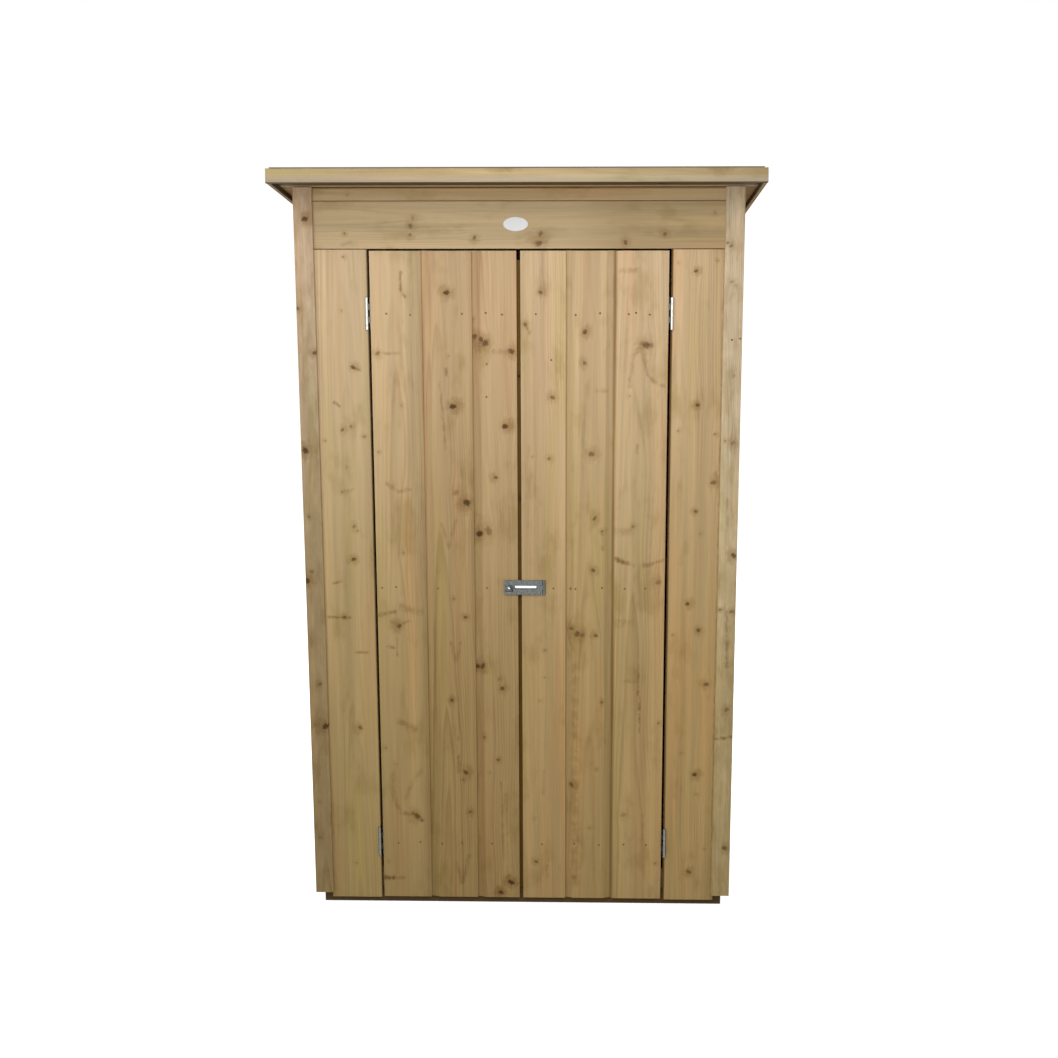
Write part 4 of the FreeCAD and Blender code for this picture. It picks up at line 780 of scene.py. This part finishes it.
def place_heads(r, given, head, finish):
    """The end of each tree: a head on each point, turned at random about its shank, made
    real and given its finish."""
    facing = r.add("GeometryNodeInputNamedAttribute", {"Name": "facing"},
                   data_type="FLOAT_VECTOR").outputs["Attribute"]
    upright = r.add("FunctionNodeAlignRotationToVector", {"Vector": facing}, axis="Z")
    turn_seed = 7
    turn = r.add("FunctionNodeRandomValue", {"Seed": turn_seed, 2: 0.0, 3: math.tau},
                 data_type="FLOAT")
    spin = r.add("FunctionNodeAxisAngleToRotation", {"Axis": (0.0, 0.0, 1.0),
                                                     "Angle": turn.outputs[1]})
    turned = r.add("FunctionNodeRotateRotation", {0: upright.outputs[0], 1: spin.outputs[0]},
                   rotation_space="LOCAL")
    heads = r.add("GeometryNodeInstanceOnPoints", {"Points": given["Geometry"],
                                                   "Instance": head,
                                                   "Rotation": turned.outputs[0]})
    real = r.add("GeometryNodeRealizeInstances", {"Geometry": heads.outputs[0]})
    dressed = r.add("GeometryNodeSetMaterial", {"Geometry": real.outputs[0],
                                                "Material": finish})
    r.add("NodeGroupOutput", {"Geometry": dressed.outputs[0]})


def nail_heads(finish):
    """A nail's head: a low round cap that stands a little proud of the wood."""
    tree, r, given = fastening_tree("nail_heads", {"Head radius": 0.0027, "Head proud": 0.0005})
    cap = r.add("GeometryNodeMeshUVSphere", {"Segments": 10, "Rings": 5, "Radius": 1.0})
    wide = given["Head radius"]
    low = r.add("GeometryNodeTransform", {"Geometry": cap.outputs[0],
                                          "Scale": r.join(wide, wide, given["Head proud"])})
    smooth = r.add("GeometryNodeSetShadeSmooth", {"Geometry": low.outputs[0]})
    place_heads(r, given, smooth.outputs[0], finish)
    return tree


def screw_heads(finish):
    """A screw's head: a cone that is sunk or stands on the plate, with a cross cut in it."""
    tree, r, given = fastening_tree("screw_heads", {
        "Top radius": 0.0032, "Under radius": 0.0021, "Head height": 0.001, "Sunk": 0.001,
        "Cross long": 0.0034, "Cross wide": 0.0008, "Cross deep": 0.0006})
    cone = r.add("GeometryNodeMeshCone", {"Vertices": 16, "Radius Top": given["Top radius"],
                                          "Radius Bottom": given["Under radius"],
                                          "Depth": given["Head height"]})
    cut = r.add("GeometryNodeMeshBoolean", {"Mesh 1": cone.outputs[0]}, operation="DIFFERENCE",
                solver="EXACT")
    long, wide, deep = given["Cross long"], given["Cross wide"], r.times(given["Cross deep"], 2.0)
    for size in ((wide, long), (long, wide)):
        bar = r.add("GeometryNodeMeshCube", {"Size": r.join(*size, deep)})
        moved = r.add("GeometryNodeTransform", {
            "Geometry": bar.outputs[0], "Translation": r.join(0.0, 0.0, given["Head height"])})
        r.feed(cut.inputs["Mesh 2"], moved.outputs[0])
    placed = r.add("GeometryNodeTransform", {
        "Geometry": cut.outputs[0], "Translation": r.join(0.0, 0.0, r.times(given["Sunk"], -1.0))})
    place_heads(r, given, placed.outputs[0], finish)
    return tree


def fasten(name, body, tree, sizes, places):
    """Makes one mesh of heads, each at a point and facing the way given with it."""
    points = bpy.data.meshes.new(name)
    points.from_pydata([at for at, facing in places], [], [])
    facings = points.attributes.new("facing", "FLOAT_VECTOR", "POINT")
    for number, (at, facing) in enumerate(places):
        facings.data[number].vector = facing
    thing = bpy.data.objects.new(name, points)
    bpy.context.scene.collection.objects.link(thing)
    maker = thing.modifiers.new(name, "NODES")
    maker.node_group = tree
    for item in tree.interface.items_tree:
        if item.in_out == "INPUT" and item.name in sizes:
            maker[item.identifier] = sizes[item.name]
    evaluated = thing.evaluated_get(bpy.context.evaluated_depsgraph_get())
    heads = bpy.data.meshes.new_from_object(evaluated)
    thing.modifiers.remove(maker)
    thing.data = heads
    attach(thing, body)


def weathered_zinc(name, bright, dull, rough, metal):
    """Zinc that has gone dull outdoors. metal is how much of it the rust leaves bare."""
    finish, r = new_finish(name)
    place = r.add("ShaderNodeTexCoord").outputs["Object"]
    rust = r.noise(place, (300.0, 300.0, 300.0), 3.0, 0.6)
    colour = r.blend(r.ramp(rust, 0.3, 0.7), bright, dull)
    r.coat({"Base Color": colour, "Metallic": metal, "Roughness": r.scaled(rust, 0.3, rough)},
           rust, strength=0.3, distance=0.0002)
    return finish


nails = nail_heads(weathered_zinc("nail_zinc", (0.27, 0.145, 0.075), (0.15, 0.08, 0.04),
                                  rough=0.55, metal=0.1))
clouts = nail_heads(weathered_zinc("clout_zinc", (0.45, 0.45, 0.43), (0.3, 0.29, 0.26),
                                   rough=0.4, metal=0.9))
screws = screw_heads(bright_zinc)
plate_screws = screw_heads(dull_zinc)

to_front, to_back = Vector((0, -1, 0)), Vector((0, 1, 0))
boards_face, posts_face = -0.238, -0.254
door_nails = {
    "left_door": [(-311, 1499), (-255, 1496), (-134, 1499), (-78, 1501), (-40, 1497),
                  (-77, 1380), (-78, 1302), (-336, 832), (-302, 834), (-200, 831), (-81, 833),
                  (-310, 165), (-255, 168), (-200, 164), (-150, 167), (-75, 165)],
    "right_door": [(39, 1498), (132, 1496), (189, 1500), (256, 1498), (273, 1501), (305, 1497),
                   (75, 1390), (80, 832), (121, 833), (133, 831), (197, 834), (252, 832),
                   (302, 833), (51, 165), (132, 167), (193, 164), (255, 166), (311, 165)]}


def on_front(face, places):
    """Points on the cabinet's front, which are given in millimetres."""
    return [(Vector((x / 1000, face, z / 1000)), to_front) for x, z in places]


for body, places in door_nails.items():
    fasten("nails_" + body, body, nails, {}, on_front(boards_face, places))

carcass_nails = on_front(posts_face, [(496, 1440), (515, 1443)])
side_face, back_face = 0.514, 0.25
low_rail, middle_rail, back_rail = 0.067, 0.834, back_high.z - 0.015
nail_inset, top_inset = 0.035, 0.02
for number in range(4):
    for step in (-nail_inset, nail_inset):
        y = boards_face + board_cover * (number + 0.5) + step
        under_roof = roof_foot.z - roof_fall * (y - roof_foot.y) - top_inset
        for z in (low_rail, middle_rail, under_roof):
            for side in (-1, 1):
                carcass_nails.append((Vector((side_face * side, y, z)), Vector((side, 0, 0))))
for number in range(9):
    for step in (-nail_inset, nail_inset):
        x = min(-side_face + board_cover * (number + 0.5) + step, side_face - top_inset)
        for z in (low_rail, middle_rail, back_rail):
            carcass_nails.append((Vector((x, back_face, z)), to_back))
fasten("nails_carcass", "carcass", nails, {}, carcass_nails)


def on_roof(x, along, above):
    """A point of the roof: how far down the slope, and above the boards' underside."""
    return roof_foot + down_slope * along + off_slope * above + Vector((x, 0, 0))


felt_front, felt_back, felt_top, felt_side = -0.142, 0.506, 0.0225, 0.53
clout_spots = [(felt_side * (step / 5 - 1), along)
               for step in range(11) for along in (felt_front, felt_back)]
clout_spots += [(across, felt_front + (felt_back - felt_front) * step / 6)
                for step in range(1, 6) for across in (-felt_side, felt_side)]
fasten("felt_clouts", "carcass", clouts, {"Head radius": 0.0048, "Head proud": 0.0009},
       [(on_roof(across, along, felt_top), off_slope) for across, along in clout_spots])

leaf_faces = {"carcass": ((-0.353, 1), (0.353, -1)), "left_door": ((-0.35, -1),),
              "right_door": ((0.35, 1),)}
hinge_middles, screw_row, screw_pitch = (0.172, 1.5), -0.2227, 0.024
for body, faces in leaf_faces.items():
    places = [(Vector((x, screw_row, middle + screw_pitch * step)), Vector((way, 0, 0)))
              for x, way in faces for middle in hinge_middles for step in (-1, 0, 1)]
    fasten("hinge_screws_" + body, body, screws, {}, places)

plate_face, hasp_middle = -0.2395, 0.8355
pan_head = {"Top radius": 0.0024, "Under radius": 0.0034, "Head height": 0.0012, "Sunk": 0.0}
plate_places = {
    "left_door": [(x, z) for x in (-0.035, -0.015) for z in (-0.013, 0.013)],
    "right_door": [(x, z) for x in (0.02, 0.042) for z in (-0.01, 0.01)]}
for body, places in plate_places.items():
    fasten("hasp_screws_" + body, body, plate_screws, pan_head,
           [(Vector((x, plate_face, hasp_middle + z)), to_front) for x, z in places])

# Badge
# A small plain oval of satin white plastic with a raised rim. It lies flat on the header,
# near the middle of the cabinet.


def white_plastic():
    """Satin white plastic with the faint unevenness of a moulding."""
    finish, r = new_finish("white_plastic")
    place = r.add("ShaderNodeTexCoord").outputs["Object"]
    cloud = r.noise(place, (220.0, 220.0, 220.0), 3.0)
    colour = r.blend(cloud, (0.72, 0.72, 0.7), (0.78, 0.78, 0.765))
    r.coat({"Base Color": colour, "Roughness": r.scaled(cloud, 0.1, 0.36)}, cloud,
           strength=0.15, distance=0.0003)
    return finish


dress("badge_plate", white_plastic())

# Floor, light and camera
# A plain pale floor in a white studio. One large soft lamp stands high in front, so the
# cabinet is lightest near its top, and others light the sides and the back.


def seen_directly(r):
    """1 where a ray from the camera, or one through or off a shiny surface, meets it."""
    path = r.add("ShaderNodeLightPath").outputs
    seen = r.number("MAXIMUM", path["Is Camera Ray"], path["Is Glossy Ray"])
    return r.number("MAXIMUM", seen, path["Is Transmission Ray"])


floor_half = 30.0
floor_mesh = bpy.data.meshes.new("studio_floor")
floor_mesh.from_pydata([(floor_half * x, floor_half * y, 0)
                        for x, y in ((-1, -1), (1, -1), (1, 1), (-1, 1))], [], [(0, 1, 2, 3)])
studio_floor = bpy.data.objects.new("studio_floor", floor_mesh)
bpy.context.scene.collection.objects.link(studio_floor)
floor_finish, r = new_finish("studio_floor")
seen = seen_directly(r)
bounce_tone, pale_floor, floor_glow = (0.2, 0.19, 0.17), (0.85, 0.85, 0.85), 0.78
matt = r.add("ShaderNodeBsdfDiffuse", {"Color": r.blend(seen, bounce_tone, pale_floor)})
glow = r.add("ShaderNodeEmission", {"Color": (0.93, 0.96, 1.0),
                                    "Strength": r.times(seen, floor_glow)})
both = r.add("ShaderNodeAddShader", {0: matt.outputs[0], 1: glow.outputs[0]})
r.add("ShaderNodeOutputMaterial", {"Surface": both.outputs[0]})
floor_mesh.materials.append(floor_finish)

world = bpy.data.worlds.new("studio")
bpy.context.scene.world = world
world.use_nodes = True
world.node_tree.nodes.clear()
r = Recipe(world.node_tree)
fill_light, background = 0.45, 1.0
strength = r.add("ShaderNodeMix", {0: seen_directly(r), 2: fill_light, 3: background},
                 data_type="FLOAT").outputs[0]
tint = r.blend(seen_directly(r), (1.0, 0.93, 0.72), (1.0, 1.0, 1.0))
sky = r.add("ShaderNodeBackground", {"Color": tint, "Strength": strength})
r.add("ShaderNodeOutputWorld", {"Surface": sky.outputs[0]})


def lamp(name, place, aim, wide, high, power, colour=(1, 1, 1)):
    """A rectangular soft lamp that the camera doesn't see."""
    light = bpy.data.lights.new(name, "AREA")
    light.shape = "RECTANGLE"
    light.size = wide
    light.size_y = high
    light.energy = power
    light.color = colour
    thing = bpy.data.objects.new(name, light)
    thing.location = place
    towards = Vector(aim) - Vector(place)
    thing.rotation_euler = towards.to_track_quat("-Z", "Y").to_euler()
    thing.visible_camera = False
    bpy.context.scene.collection.objects.link(thing)


lamp("front_lamp", place=(-0.2, -1.74, 2.0), aim=(0, -0.24, 1.4), wide=1.6, high=2.0, power=28,
     colour=(0.98, 1.0, 1.08))
lamp("left_lamp", place=(-3.0, 0.9, 2.0), aim=(-0.5, 0.1, 1.0), wide=1.4, high=2.0, power=34)
lamp("right_lamp", place=(3.0, 0.9, 2.0), aim=(0.5, 0.1, 1.0), wide=1.4, high=2.0, power=30)
lamp("rear_lamp", place=(0.4, 3.0, 2.4), aim=(0, 0.25, 1.0), wide=2.2, high=1.6, power=46)

camera = bpy.data.cameras.new("camera")
camera.sensor_width = 36.0
camera.lens = 63.31
camera_thing = bpy.data.objects.new("camera", camera)
bpy.context.scene.collection.objects.link(camera_thing)
camera_place = (0.1542, -4.5741, 2.0697)
turned, tipped, rolled = -0.03067, 0.24602, -0.00395
forward = Vector((math.sin(turned) * math.cos(tipped), math.cos(turned) * math.cos(tipped),
                  -math.sin(tipped)))
level_right = Vector((math.cos(turned), -math.sin(turned), 0))
level_up = level_right.cross(forward)
right = level_right * math.cos(rolled) + level_up * math.sin(rolled)
up = level_up * math.cos(rolled) - level_right * math.sin(rolled)
pose = Matrix((right, up, -forward)).transposed().to_4x4()
pose.translation = camera_place
camera_thing.matrix_world = pose
bpy.context.scene.camera = camera_thing
bpy.context.scene.view_settings.view_transform = "Standard"
